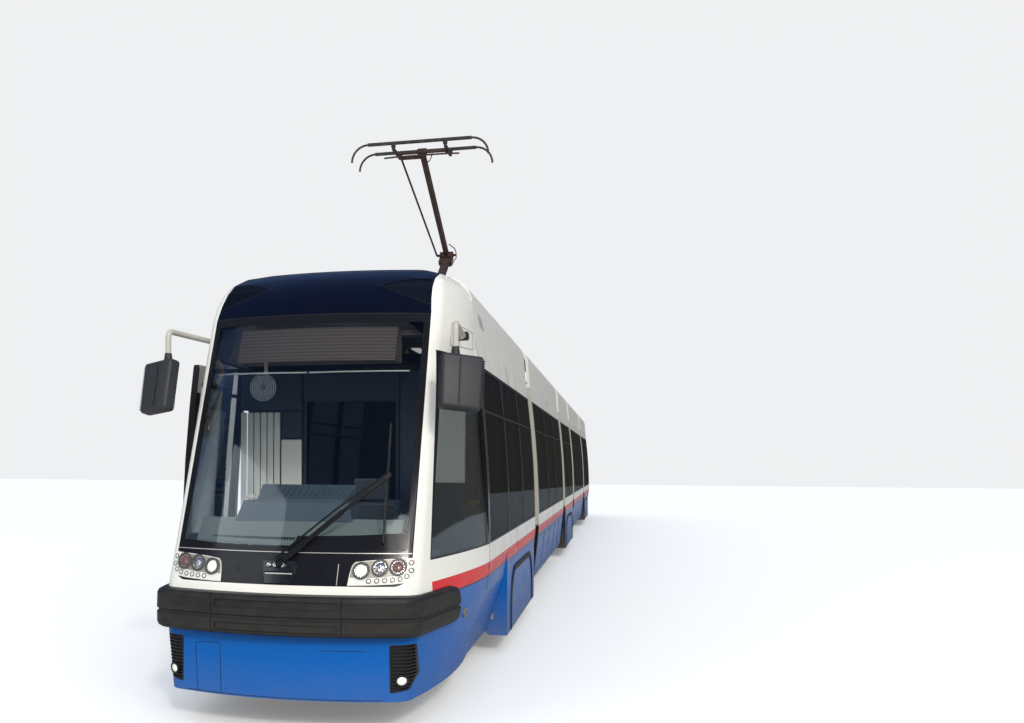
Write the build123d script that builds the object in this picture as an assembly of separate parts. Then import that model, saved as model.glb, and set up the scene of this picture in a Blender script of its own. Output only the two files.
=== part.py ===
from build123d import *
from math import asin, atan2, cos, degrees, hypot, radians, sin, sqrt
import os

os.makedirs("parts", exist_ok=True)

# Five-section low-floor tram. X is across (+X is the tram's own left), Y runs from the bumper's nose
# to the tail, and Z is the height over the rail. save() moves every piece to the part's own frame.

# Lengths along the tram, from pivot to pivot
END_LENGTH = 6850
HUNG_LENGTH = 6280
MIDDLE_LENGTH = 3860
LENGTH = 2 * (END_LENGTH + HUNG_LENGTH) + MIDDLE_LENGTH
GANGWAY_GAP = 560
NOSE_LENGTH = 2050
FLANGE_DEPTH = 22

# Body side: a leaning sill panel below the waist, a slightly barrelled side above it
SILL_X = 1105
SILL_Z = 300
WAIST_X = 1175
WAIST_Z = 950
SIDE_RADIUS = 13800
SIDE_TOP = 2850
WALL = 60
FIT = 0.3
LINER_FIT = 0.5

# Roof: a deck on the side walls, with a cowl along each edge
DECK_THICKNESS = 50
COWL_TOP = 3400
COWL_LEAN = 25
COWL_ROUND = 230
COWL_RISE = 400
COWL_SHEET = 35
COWL_LIP = 110

# Floor and underframe
FLOOR_TOP = 350
FLOOR_THICKNESS = 50
BOGIE_FLOOR_TOP = 450
RAMP_LENGTH = 500
RAISED_HALF = 1270
BEAM_HEIGHT = 90
BEAM_WIDTH = 120
DRAFT_X = 260
DRAFT_START = 330
DRAWBAR_DEPTH = 200
DRAWBAR_PLATE = 30
DRAWBAR_RISE = 10
DRAWBAR_RADIUS = 25

# Gangway
END_BEAM_LOW = 180
END_BEAM = 120
PORTAL_DEPTH = 60
GANGWAY_HALF = 540
GANGWAY_TOP = 2400
TURNTABLE_RADIUS = 500
TURNTABLE_THICKNESS = 38
TURNTABLE_GAP = 10
PIVOT_RADIUS = 60
PIVOT_FIT = 0.05
EYE_RADIUS = 150
EYE_HEIGHT = 40
EYE_BOTTOM = 235
PIVOT_FLANGE = 95
PIVOT_FLANGE_HEIGHT = 25
PIVOT_GAP = 12
BELLOWS_HALF = 1000
BELLOWS_LOW = 430
BELLOWS_TOP = 2790
BELLOWS_SHEET = 40
BELLOWS_CORNER = 140
BELLOWS_FOLDS = 5
FOLD_DEPTH = 25

# Windows and doors
WINDOW_LOW = 1155
WINDOW_HIGH = 2650
WINDOW_POST = 60
WINDOW_MARGIN = 120
GLASS = 8
DOOR_LOW = 310
DOOR_HIGH = 2620
DOOR_THICKNESS = 45
DOOR_GLASS_LOW = 820
DOOR_GLASS_HIGH = 2480
DOOR_FRAME = 90
DOOR_SEAL = 0.4
SINGLE_DOOR = 750
DOUBLE_DOOR = 1300
END_DOOR_START = 2100
DOUBLE_DOOR_OFFSET = 1450
OPEN_OUT = 95
OPEN_ALONG = 800
DOOR_ARM = 28
DOOR_ARM_HEIGHTS = (620, 2400)

# Running gear
GAUGE = 1000
WHEEL_RADIUS = 300
WHEELBASE = 1800
BOGIE_FROM_END = 4850
AXLE_RADIUS = 60
JOURNAL_RADIUS = 50
JOURNAL_FIT = 0.05
FRAME_X = 740
FRAME_WIDTH = 120
FRAME_LOW = 200
FRAME_HIGH = 320
AXLEBOX_HALF = 110
AXLEBOX_HEIGHT = 90
WHEEL_OUTER = 575
WHEEL_BACK = 462
WHEEL_CLEAR = 30
BOX_TOP = 900
BOX_SHEET = 20
BOX_INNER_X = 410
SPRING_RADIUS = 70
CROSS_BEAM = 120
MOTOR_HALF = 330
MOTOR_LOW = 160
MOTOR_HIGH = 350
MOTOR_EDGE = 50
BRAKE_LENGTH = 900
BRAKE_WIDTH = 70
BRAKE_LOW = 12
BRAKE_HIGH = 110

# Bogie skirts: a square-set panel that stays out where the sill panel leans in, with an arch and its cover
SKIRT_X = 1178
SKIRT_SHEET = 34
SKIRT_LOW = 150
SKIRT_HALF = 1480
ARCH_HALF = 1180
ARCH_TOP = 770
ARCH_CORNER = 420
TUCK_SHEET = 30
# the foot of a skirt's end, under the floor, as (across, height)
SKIRT_FOOT = ((1050, 295), (975, 295), (945, 240), (965, 180), (1000, 150), (1050, 150))
COVER_GAP = 14
COVER_SHEET = 26
COVER_TAB = 60

# Front and rear masks: a horizontal outline of three arcs and two side arcs, at these heights
MASK_SHEET = 45
FACE_RADIUS = 2600
MASK_CORNER_X = 835
MASK_CORNER_RADIUS = 150
MASK_SIDE_ANGLE = 13
# height, set-back of the face at the centre, how far the outline is narrowed at the corners and at the back
MASK_LEVELS = (
    (215, 130, 62, 110),
    (740, 120, 0, 0),
    (930, 140, 0, 0),
    (1200, 248, 0, 0),
    (2930, 905, 0, 0),
    (3060, 980, 8, 0),
    (3170, 1078, 22, 2),
    (3260, 1202, 46, 22),
    (3340, 1378, 100, 82),
    (3400, 1605, 220, 188),
    (3425, 1760, 330, 300),
)
CROWN_SHARE = 1 / 3
SCREEN_LOW = 1215
SCREEN_HIGH = 2900
SCREEN_HALF_LOW = 862
SCREEN_HALF_HIGH = 850
SCREEN_CORNER = 70
# side window of the cab: where its lower edge starts and ends, and where its upper edge starts
CAB_WINDOW_START = 590
CAB_WINDOW_END = 1990
CAB_WINDOW_TOP_START = 1085

# Black grilles let into the mask, as (across, height) of their corners: one in each corner of the apron, with
# level slats round the fog lamp, and a pointed oval in each upper corner of the fairing, with upright slats
GRILLE_DEPTH = 22
GRILLE_BACK = 6
APRON_GRILLE = ((748, 272), (744, 598), (912, 604), (912, 392), (868, 292))
APRON_GRILLE_CORNER = 16
APRON_SLAT = 9
APRON_SLAT_PITCH = 24
LOUVRE_POINT = (428, 3186)
LOUVRE_UPPER = ((600, 3246), (834, 3256))
LOUVRE_LOWER = ((848, 3012), (690, 3072))
LOUVRE_SLAT = 8
LOUVRE_SLAT_PITCH = 22
GRILLE_RIM = 10

# Bumper round the mask. Levels are height and inset: a groove runs round it below its middle
BUMPER_LEVELS = (
    (660, 30),
    (672, 12),
    (692, 2),
    (764, 0),
    (772, 12),
    (786, 12),
    (794, 0),
    (896, 2),
    (918, 12),
    (930, 32),
)
BUMPER_END_ROUND = 125
BUMPER_JOINT_X = 460
BUMPER_JOINT = 5
BUMPER_RECESS = 9
# recessed strips of the middle length: lower and upper edge
BUMPER_STRIPS = ((686, 742), (840, 896))
BUMPER_STRIP_HALF = 438
BUMPER_END_Y = 1000
BUMPER_END_X = 1108
BUMPER_CORNER_X = 850
BUMPER_CORNER_RADIUS = 185

# Lamps
LENS_PROUD = 6
# across, height, radius; the last is the fog lamp
LAMPS = ((531, 1087, 47), (651, 1105, 47), (768, 1109, 47), (822, 359, 30))
FOG_LAMP_SEAT = 42

# Pantograph on section A. Points are (along, up); the knee points to the rear
PANTO_SEAT = 3250
PANTO_BASE = (5350, 3650)
PANTO_KNEE = (6500, 4460)
PANTO_HEAD = (4905, 5410)
PANTO_FRAME_LOW = 3480
PANTO_FRAME = 60
PANTO_FRAME_HALF = 420
PANTO_FRAME_ENDS = (4950, 5750)
PANTO_SHAFT = 40
PANTO_BEARING = 45
BEARING_RADIUS = 70
PANTO_ARM = 54
PANTO_UPPER = 36
KNEE_PIN = 25
KNEE_EYE = 60
EAR = 16
EAR_WIDTH = 96
EAR_GAP = 8
UPPER_OFFSET = 118
HEAD_PIN = 20
HEAD_EYE = 40
HEAD_EYE_HALF = 50
HEAD_BAR = 15
STRIP_RISE = 12
HEAD_HALF = 300
STRIP_HALF = 600
STRIP_SPACING = 350
STRIP_WIDTH = 40
STRIP_HEIGHT = 28
HORN_RADIUS = 190
HORN_ROD = 12
GUIDE_ROD = 12
GUIDE_EYE = 16
GUIDE_X = -130
GUIDE_TOP_X = -260
INSULATOR_RADIUS = 45
INSULATOR_RIB = 70
INSULATOR_RIBS = 4
PIN_FIT = 0.05

# Mirrors: a housing on a bent tube, on each side
MIRROR_WIDTH = 310
MIRROR_HEIGHT = 405
MIRROR_DEPTH = 110
MIRROR_TURN = 25
MIRROR_CENTRE = (1150, 650, 2385)
MIRROR_TILT = 14
MIRROR_EDGE = 30
MIRROR_TUBE = 22
MIRROR_BEND = 60
MIRROR_LEAD = 90
MIRROR_CHAMFER = 14
MIRROR_DROP = (1105, 700)
MIRROR_ROOT = (985, 1510, 2815)

# Wiper, in front of the screen: base, arm end and blade ends as (across, height)
WIPER_BASE = (0, 1110)
WIPER_ARM_POINTS = (WIPER_BASE, (180, 1300), (400, 1480), (655, 1700))
WIPER_BLADE = ((665, 1270), (645, 2090))
WIPER_CAP = 110
WIPER_CAP_HALF = 35
WIPER_CAP_SPAN = (60, 330)
WIPER_STAND = 34
WIPER_LIFT = 20
WIPER_ARM = 24
WIPER_RUBBER = 12

# Dashboard and the blank destination display behind the screen
DASH_LOW = 1000
DASH_HIGH = 1190
DASH_DEPTH = 900
# hood of the instruments: right, left, front, back
HOOD = (-380, 420, 570, 880)
HOOD_HIGH = 1270
# foot of the desk: half width, front, back
DESK_FOOT = (700, 650, 800)
DISPLAY = (620, 2580, 2840)
DISPLAY_BRACKET = 50
DISPLAY_DEPTH = 260

PIVOTS = (
    END_LENGTH,
    END_LENGTH + HUNG_LENGTH,
    END_LENGTH + HUNG_LENGTH + MIDDLE_LENGTH,
    LENGTH - END_LENGTH,
)
HALF_GAP = GANGWAY_GAP / 2
FLOOR_HALF = SILL_X - WALL - FIT

# Sections. Columns: name, start and end of the side walls, gangway at the front, gangway at the rear,
# bogie centre or None, doorways on the right side as (start, end)
B_CENTRE = (PIVOTS[0] + PIVOTS[1]) / 2
D_CENTRE = (PIVOTS[2] + PIVOTS[3]) / 2


def double_doors(centre):
    doors = []
    for side in (-1, 1):
        middle = centre + side * DOUBLE_DOOR_OFFSET
        doors.append((middle - DOUBLE_DOOR / 2, middle + DOUBLE_DOOR / 2))
    return doors


FRONT_DOORWAY = (END_DOOR_START, END_DOOR_START + SINGLE_DOOR)
REAR_DOORWAY = (LENGTH - FRONT_DOORWAY[1], LENGTH - FRONT_DOORWAY[0])
SECTIONS = (
    ("a", NOSE_LENGTH + FIT, PIVOTS[0] - HALF_GAP, False, True, BOGIE_FROM_END, [FRONT_DOORWAY]),
    ("b", PIVOTS[0] + HALF_GAP, PIVOTS[1] - HALF_GAP, True, True, None, double_doors(B_CENTRE)),
    ("c", PIVOTS[1] + HALF_GAP, PIVOTS[2] - HALF_GAP, True, True, LENGTH / 2, []),
    ("d", PIVOTS[2] + HALF_GAP, PIVOTS[3] - HALF_GAP, True, True, None, double_doors(D_CENTRE)),
    ("e", PIVOTS[3] + HALF_GAP, LENGTH - NOSE_LENGTH - FIT, True, False, LENGTH - BOGIE_FROM_END, [REAR_DOORWAY]),
)


PLACE = Pos(0, -LENGTH / 2, FLANGE_DEPTH)


def save_placed(name, *solids):
    shape = Compound(children=list(solids)) if len(solids) > 1 else solids[0]
    export_step(shape, f"parts/{name}.step")


def save(name, *solids):
    save_placed(name, *[PLACE * solid for solid in solids])


def block(x0, x1, y0, y1, z0, z1):
    return Pos((x0 + x1) / 2, (y0 + y1) / 2, (z0 + z1) / 2) * Box(abs(x1 - x0), abs(y1 - y0), abs(z1 - z0))


def other_side(shape):
    return mirror(shape, about=Plane.YZ)


def side_x(z):
    if z <= WAIST_Z:
        return WAIST_X - (WAIST_Z - z) * (WAIST_X - SILL_X) / (WAIST_Z - SILL_Z)
    return WAIST_X - SIDE_RADIUS + sqrt(SIDE_RADIUS**2 - (z - WAIST_Z) ** 2)


def side_slab(inset, thickness, y0, y1, low=SILL_Z, high=SIDE_TOP):
    """A slab of the left body side, its outer face inset from the side's surface."""
    outer = []
    inner = []
    for z in (low, WAIST_Z, (WAIST_Z + high) / 2, high):
        outer.append((side_x(z) - inset, z))
        inner.append((side_x(z) - inset - thickness, z))
    edges = [
        Line(outer[0], outer[1]),
        ThreePointArc(outer[1], outer[2], outer[3]),
        Line(outer[3], inner[3]),
        ThreePointArc(inner[3], inner[2], inner[1]),
        Line(inner[1], inner[0]),
        Line(inner[0], outer[0]),
    ]
    face = make_face(Plane.XZ * Curve(edges))
    return Pos(0, y1, 0) * extrude(face, y1 - y0, dir=(0, -1, 0))


def side_prism(y0, y1, z0, z1, shrink=0):
    """A rectangle in the side view, run through the left half of the body."""
    return block(0, 2 * WAIST_X, y0 + shrink, y1 - shrink, z0 + shrink, z1 - shrink)


def panes(y0, y1, count):
    """Pane spans between two ends, with equal posts between them."""
    width = (y1 - y0 - WINDOW_POST * (count - 1)) / count
    return [(y0 + i * (width + WINDOW_POST), y0 + i * (width + WINDOW_POST) + width) for i in range(count)]


def window_spans(name, y0, y1, doors):
    """Left and right pane spans of one section."""
    first = y0 + WINDOW_MARGIN
    last = y1 - WINDOW_MARGIN
    left_count = 2 if name == "c" else 3
    left = panes(first, last, left_count)
    if name in "bd":
        ends = [first]
        for door in doors:
            ends += [door[0] - WINDOW_POST, door[1] + WINDOW_POST]
        ends.append(last)
        right = [(ends[0], ends[1]), (ends[2], ends[3]), (ends[4], ends[5])]
    elif name == "a":
        right = panes(doors[0][1] + WINDOW_POST, last, 3)
    elif name == "e":
        right = panes(first, doors[0][0] - WINDOW_POST, 3)
    else:
        right = left
    return left, right


def tuck_x(z):
    """The tucked lower side beside the masks, which carries on from the mask's own foot."""
    foot, knee = MASK_LEVELS[0], MASK_LEVELS[1]
    foot_x = side_x(foot[0]) - foot[3]
    return foot_x + (side_x(knee[0]) - foot_x) * (z - foot[0]) / (knee[0] - foot[0])


def tuck_slab(y0, y1, low, high, inner, outer):
    """A slab along the tucked side, between two offsets from it."""
    points = [(tuck_x(low) + inner, low), (tuck_x(low) + outer, low), (tuck_x(high) + outer, high), (tuck_x(high) + inner, high)]
    face = make_face(Plane.XZ * Polyline(*points, close=True))
    return Pos(0, y1, 0) * extrude(face, y1 - y0, dir=(0, -1, 0))


def tuck_spans(name, y0, y1, bogie, doors):
    """Where the left and the right side are tucked in: between a mask and the next bogie's skirt."""
    if name == "a":
        end = bogie - SKIRT_HALF
        return (y0, end), (doors[0][1], end)
    if name == "e":
        start = bogie + SKIRT_HALF
        return (start, y1), (start, doors[0][0])
    return None, None


def tucked_in(wall, span):
    start, end = span
    wall -= tuck_slab(start, end, 0, MASK_LEVELS[1][0], 0, WAIST_X)
    return wall + tuck_slab(start, end, MASK_LEVELS[0][0], MASK_LEVELS[1][0], -TUCK_SHEET, 0)


def arch_face(centre, shrink=0, low=SKIRT_LOW - 50):
    """The wheel arch in the side view."""
    half = ARCH_HALF - shrink
    top = ARCH_TOP - shrink
    corner = ARCH_CORNER - shrink
    lean = corner * sin(radians(45))
    edges = [
        Line((centre - half, low), (centre - half, top - corner)),
        ThreePointArc(
            (centre - half, top - corner),
            (centre - half + corner - lean, top - corner + lean),
            (centre - half + corner, top),
        ),
        Line((centre - half + corner, top), (centre + half - corner, top)),
        ThreePointArc(
            (centre + half - corner, top),
            (centre + half - corner + lean, top - corner + lean),
            (centre + half, top - corner),
        ),
        Line((centre + half, top - corner), (centre + half, low)),
        Line((centre + half, low), (centre - half, low)),
    ]
    return make_face(Plane.YZ * Curve(edges))


def bogie_skirt(centre):
    """The upright panel over one side of a bogie, with its returns, arch and cover."""
    skirt = block(
        SKIRT_X - SKIRT_SHEET, SKIRT_X, centre - SKIRT_HALF, centre + SKIRT_HALF, SKIRT_LOW, WAIST_Z
    )
    foot = make_face(Plane.XZ * Polyline(*SKIRT_FOOT, close=True))
    for end in (-1, 1):
        edge = centre + end * SKIRT_HALF
        skirt += block(SILL_X - WALL, SKIRT_X, edge, edge - end * SKIRT_SHEET, SKIRT_LOW, WAIST_Z)
        skirt += Pos(0, max(edge, edge - end * SKIRT_SHEET), 0) * extrude(foot, SKIRT_SHEET, dir=(0, -1, 0))
    skirt -= extrude(arch_face(centre), 2 * WAIST_X, dir=(1, 0, 0))
    cover = extrude(arch_face(centre, COVER_GAP, SKIRT_LOW), SKIRT_X, dir=(1, 0, 0))
    cover &= block(SKIRT_X - COVER_SHEET, SKIRT_X, centre - ARCH_HALF, centre + ARCH_HALF, SKIRT_LOW, ARCH_TOP)
    for end in (-1, 1):
        y = centre + end * ARCH_HALF / 2
        cover += block(
            SKIRT_X - SKIRT_SHEET - COVER_TAB / 2,
            SKIRT_X - COVER_SHEET + 2,
            y - COVER_TAB,
            y + COVER_TAB,
            ARCH_TOP - COVER_TAB,
            ARCH_TOP + COVER_TAB,
        )
    return skirt + cover


def portal(y0, y1):
    """A gangway end frame: an inverted U between the side walls, standing on the floor."""
    low = FLOOR_TOP + FIT
    middle = (WAIST_Z + SIDE_TOP) / 2
    right = [(inner_x(z), z) for z in (low, WAIST_Z, middle, SIDE_TOP)]
    left = [(-x, z) for x, z in right]
    edges = [
        Line((GANGWAY_HALF, low), right[0]),
        Line(right[0], right[1]),
        ThreePointArc(right[1], right[2], right[3]),
        Line(right[3], left[3]),
        ThreePointArc(left[3], left[2], left[1]),
        Line(left[1], left[0]),
        Line(left[0], (-GANGWAY_HALF, low)),
        Line((-GANGWAY_HALF, low), (-GANGWAY_HALF, GANGWAY_TOP)),
        Line((-GANGWAY_HALF, GANGWAY_TOP), (GANGWAY_HALF, GANGWAY_TOP)),
        Line((GANGWAY_HALF, GANGWAY_TOP), (GANGWAY_HALF, low)),
    ]
    face = make_face(Plane.XZ * Curve(edges))
    return Pos(0, y1, 0) * extrude(face, y1 - y0, dir=(0, -1, 0))


def inner_x(z):
    return side_x(max(z, SILL_Z)) - WALL - FIT


# Body shells: two side walls with their windows and doorways, the bogie skirts, and the end frames
def body_shell(name, y0, y1, front, rear, bogie, doors):
    left_panes, right_panes = window_spans(name, y0, y1, doors)
    left_tuck, right_tuck = tuck_spans(name, y0, y1, bogie, doors)
    walls = []
    for spans, doorways, tuck, turn in ((left_panes, [], left_tuck, False), (right_panes, doors, right_tuck, True)):
        wall = side_slab(0, WALL, y0, y1)
        for start, end in spans:
            wall -= side_prism(start, end, WINDOW_LOW, WINDOW_HIGH)
        for start, end in doorways:
            wall -= side_prism(start, end, SILL_Z - WALL, DOOR_HIGH)
        if bogie is not None:
            wall -= extrude(arch_face(bogie), 2 * WAIST_X, dir=(1, 0, 0))
            wall += bogie_skirt(bogie)
        if tuck is not None:
            wall = tucked_in(wall, tuck)
        walls.append(other_side(wall) if turn else wall)
    ends = []
    if front:
        ends.append(portal(y0, y0 + PORTAL_DEPTH))
    if rear:
        ends.append(portal(y1 - PORTAL_DEPTH, y1))
    save(f"shell_{name}", *walls, *ends)


def side_glass(name, y0, y1, doors):
    left_panes, right_panes = window_spans(name, y0, y1, doors)
    glazing = []
    for spans, turn in ((left_panes, False), (right_panes, True)):
        for start, end in spans:
            sheet = side_slab(0, GLASS, start, end)
            pane = sheet & side_prism(start, end, WINDOW_LOW, WINDOW_HIGH, LINER_FIT)
            glazing.append(other_side(pane) if turn else pane)
    return glazing


# Roof: deck, side cowls and the boxes of equipment between them
def roof(name, y0, y1, equipment):
    low_x = side_x(SIDE_TOP)
    deck_low = SIDE_TOP + FIT
    deck_top = deck_low + DECK_THICKNESS
    bend = COWL_TOP - COWL_ROUND
    top_x = low_x - COWL_LEAN - COWL_ROUND
    lean = COWL_ROUND * sin(radians(45))
    inner_round = COWL_ROUND - COWL_SHEET
    inner_lean = inner_round * sin(radians(45))
    centre_x = low_x - COWL_LEAN - COWL_ROUND
    edges = [
        Line((low_x, deck_low), (low_x - COWL_LEAN, bend)),
        ThreePointArc(
            (low_x - COWL_LEAN, bend), (centre_x + lean, bend + lean), (centre_x, COWL_TOP)
        ),
        Line((top_x, COWL_TOP), (top_x - COWL_LIP, COWL_TOP)),
        Line((top_x - COWL_LIP, COWL_TOP), (top_x - COWL_LIP, COWL_TOP - COWL_SHEET)),
        Line((top_x - COWL_LIP, COWL_TOP - COWL_SHEET), (top_x, COWL_TOP - COWL_SHEET)),
        ThreePointArc(
            (top_x, COWL_TOP - COWL_SHEET),
            (centre_x + inner_lean, bend + inner_lean),
            (centre_x + inner_round, bend),
        ),
        Line((centre_x + inner_round, bend), (low_x - COWL_SHEET, deck_low)),
        Line((low_x - COWL_SHEET, deck_low), (low_x, deck_low)),
    ]
    face = make_face(Plane.XZ * Curve(edges))
    cowl = Pos(0, y1, 0) * extrude(face, y1 - y0, dir=(0, -1, 0))
    deck = block(-low_x + 1, low_x - 1, y0, y1, deck_low, deck_top)
    shape = deck + cowl + other_side(cowl)
    for start, end, half, top in equipment:
        unit = block(-half, half, start, end, deck_top - 1, top)
        shape += chamfer(unit.edges().group_by(Axis.Z)[-1], BOX_SHEET)
    return shape


# Floor: a slab that rises over the bogie, end beams and sole bars below it, and the pivots' fittings
def floor_slab(y0, y1, low_start, low_end, bogie):
    """The floor is low outside low_start and low_end, and raised round the bogie."""
    top = [(y0, FLOOR_TOP)]
    if bogie is not None:
        top += [
            (low_start, FLOOR_TOP),
            (bogie - RAISED_HALF, BOGIE_FLOOR_TOP),
            (bogie + RAISED_HALF, BOGIE_FLOOR_TOP),
            (low_end, FLOOR_TOP),
        ]
    top.append((y1, FLOOR_TOP))
    bottom = [(y, z - FLOOR_THICKNESS) for y, z in reversed(top)]
    face = make_face(Plane.YZ * Polyline(*top, *bottom, close=True))
    slab = extrude(face, FLOOR_HALF, both=True, dir=(1, 0, 0))
    if bogie is not None:
        reach = WHEEL_RADIUS + FLANGE_DEPTH + WHEEL_CLEAR
        for axle in (bogie - WHEELBASE / 2, bogie + WHEELBASE / 2):
            for side in (-1, 1):
                slab -= block(
                    side * (WHEEL_BACK - WHEEL_CLEAR),
                    side * (WHEEL_OUTER + WHEEL_CLEAR),
                    axle - reach,
                    axle + reach,
                    0,
                    BOGIE_FLOOR_TOP + WALL,
                )
    return slab


def turntable(pivot):
    """The disc, pin and flange on a hung section; the disc reaches over the pivot."""
    disc = Pos(0, pivot, FLOOR_TOP - TURNTABLE_THICKNESS / 2) * Cylinder(TURNTABLE_RADIUS, TURNTABLE_THICKNESS)
    pin_top = FLOOR_TOP - TURNTABLE_THICKNESS + 1
    pin_low = EYE_BOTTOM - PIVOT_GAP
    pin = Pos(0, pivot, (pin_top + pin_low) / 2) * Cylinder(PIVOT_RADIUS, pin_top - pin_low)
    flange = Pos(0, pivot, pin_low - PIVOT_FLANGE_HEIGHT / 2) * Cylinder(PIVOT_FLANGE, PIVOT_FLANGE_HEIGHT + 1)
    return disc + pin + flange


def pivot_eye(pivot, seat):
    """The tongue with its eye on a section that stands on a bogie."""
    middle = EYE_BOTTOM + EYE_HEIGHT / 2
    tongue = block(-EYE_RADIUS, EYE_RADIUS, min(pivot, seat), max(pivot, seat), EYE_BOTTOM, EYE_BOTTOM + EYE_HEIGHT)
    tongue += Pos(0, pivot, middle) * Cylinder(EYE_RADIUS, EYE_HEIGHT)
    return tongue - Pos(0, pivot, middle) * Cylinder(PIVOT_RADIUS + PIVOT_FIT, 2 * EYE_HEIGHT)


# Masks
def mask_side_x(z):
    """The body side, or the cowl's upright part above it."""
    if z <= SIDE_TOP:
        return side_x(z)
    return side_x(SIDE_TOP) - COWL_LEAN * (z - SIDE_TOP) / COWL_RISE


def mask_outline(z, set_back, narrow, back_narrow, inset=0):
    """Half of the outline is worked out, from the centre of the face to the back of the side."""
    turn = asin((MASK_CORNER_X - narrow) / FACE_RADIUS)
    radius = FACE_RADIUS - inset
    middle = set_back + FACE_RADIUS
    reach = FACE_RADIUS - MASK_CORNER_RADIUS
    corner = (reach * sin(turn), middle - reach * cos(turn))
    bend = MASK_CORNER_RADIUS - inset
    slope = radians(MASK_SIDE_ANGLE)
    mid_turn = (turn + radians(90) - slope) / 2
    start = (radius * sin(turn), middle - radius * cos(turn))
    half_way = (corner[0] + bend * sin(mid_turn), corner[1] - bend * cos(mid_turn))
    end = (corner[0] + bend * cos(slope), corner[1] - bend * sin(slope))
    back = (mask_side_x(z) - back_narrow - inset, NOSE_LENGTH + inset)
    return start, half_way, end, back, (0, middle - radius)


def mask_face(z, set_back, narrow, back_narrow, inset=0):
    start, half_way, end, back, nose = mask_outline(z, set_back, narrow, back_narrow, inset)
    flip = [(-x, y) for x, y in (start, half_way, end, back)]
    tangent = (sin(radians(MASK_SIDE_ANGLE)), cos(radians(MASK_SIDE_ANGLE)))
    side = TangentArc(end, back, tangent=tangent)
    side_mid = side @ 0.5
    edges = [
        ThreePointArc(flip[0], nose, start),
        ThreePointArc(start, half_way, end),
        ThreePointArc(end, (side_mid.X, side_mid.Y), back),
        Line(back, flip[3]),
        ThreePointArc(flip[3], (-side_mid.X, side_mid.Y), flip[2]),
        ThreePointArc(flip[2], flip[1], flip[0]),
    ]
    return Pos(0, 0, z) * make_face(Curve(edges))


def mask_solid(inset=0, lower=0):
    faces = []
    for i, (z, set_back, narrow, back_narrow) in enumerate(MASK_LEVELS):
        level = z - lower if i == 0 else z
        if i == len(MASK_LEVELS) - 1:
            level = z - inset * CROWN_SHARE
        faces.append(mask_face(level, set_back, narrow, back_narrow, inset))
    return loft(faces, ruled=True)


def front_prism(half_low, half_high, low, high, corner, depth, shrink=0):
    points = [
        (-half_low + shrink, low + shrink),
        (half_low - shrink, low + shrink),
        (half_high - shrink, high - shrink),
        (-half_high + shrink, high - shrink),
    ]
    face = make_face(Plane.XZ * Polyline(*points, close=True))
    face = fillet(face.vertices(), corner)
    return Pos(0, depth, 0) * extrude(face, depth + LINER_FIT, dir=(0, -1, 0))


def cab_window_face(shrink=0):
    points = [
        (CAB_WINDOW_START + shrink, WINDOW_LOW + shrink),
        (CAB_WINDOW_END - shrink, WINDOW_LOW + shrink),
        (CAB_WINDOW_END - shrink, WINDOW_HIGH - shrink),
        (CAB_WINDOW_TOP_START + shrink, WINDOW_HIGH - shrink),
    ]
    return make_face(Plane.YZ * Polyline(*points, close=True))


def bumper_solid(sunk=0):
    sheets = []
    turn = asin(BUMPER_CORNER_X / FACE_RADIUS)
    reach = FACE_RADIUS - BUMPER_CORNER_RADIUS
    corner = (reach * sin(turn), FACE_RADIUS - reach * cos(turn))
    slope = radians(MASK_SIDE_ANGLE)
    mid_turn = (turn + radians(90) - slope) / 2
    for z, level_inset in BUMPER_LEVELS:
        inset = level_inset + sunk
        radius = FACE_RADIUS - inset
        bend = BUMPER_CORNER_RADIUS - inset
        start = (radius * sin(turn), FACE_RADIUS - radius * cos(turn))
        half_way = (corner[0] + bend * sin(mid_turn), corner[1] - bend * cos(mid_turn))
        end = (corner[0] + bend * cos(slope), corner[1] - bend * sin(slope))
        back = (BUMPER_END_X - inset, BUMPER_END_Y)
        edges = [
            ThreePointArc((-start[0], start[1]), (0, inset), start),
            ThreePointArc(start, half_way, end),
            Line(end, back),
            Line(back, (-back[0], back[1])),
            Line((-back[0], back[1]), (-end[0], end[1])),
            ThreePointArc((-end[0], end[1]), (-half_way[0], half_way[1]), (-start[0], start[1])),
        ]
        sheets.append(Pos(0, 0, z) * make_face(Curve(edges)))
    return loft(sheets, ruled=True)


def bumper_side_view():
    low = BUMPER_LEVELS[0][0]
    high = BUMPER_LEVELS[-1][0]
    face = make_face(Plane.YZ * Polyline((-1, low), (BUMPER_END_Y, low), (BUMPER_END_Y, high), (-1, high), close=True))
    rear_corners = face.vertices().group_by(Axis.Y)[-1]
    return extrude(fillet(rear_corners, BUMPER_END_ROUND), 2 * WAIST_X, both=True, dir=(1, 0, 0))


def front_bumper():
    """Three lengths of moulding, with two recessed strips in the middle one."""
    whole = bumper_solid() & bumper_side_view()
    skin = whole - bumper_solid(BUMPER_RECESS)
    for low, high in BUMPER_STRIPS:
        strip = Plane.XZ * Pos(0, (low + high) / 2) * SlotOverall(2 * BUMPER_STRIP_HALF, high - low)
        whole -= skin & Pos(0, NOSE_LENGTH / 2, 0) * extrude(strip, NOSE_LENGTH, dir=(0, -1, 0))
    for side in (-1, 1):
        edge = side * BUMPER_JOINT_X
        whole -= skin & block(edge, edge + side * BUMPER_JOINT, -1, NOSE_LENGTH / 2, BUMPER_LEVELS[0][0], BUMPER_LEVELS[-1][0])
    return whole


def through_face(face):
    """A flat outline of (across, height), run through the face of the mask."""
    return PLACE * Pos(0, NOSE_LENGTH, 0) * extrude(face, NOSE_LENGTH, dir=(0, -1, 0))


def apron_grille_face():
    face = make_face(Plane.XZ * Polyline(*APRON_GRILLE, close=True))
    return fillet(face.vertices(), APRON_GRILLE_CORNER)


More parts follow.
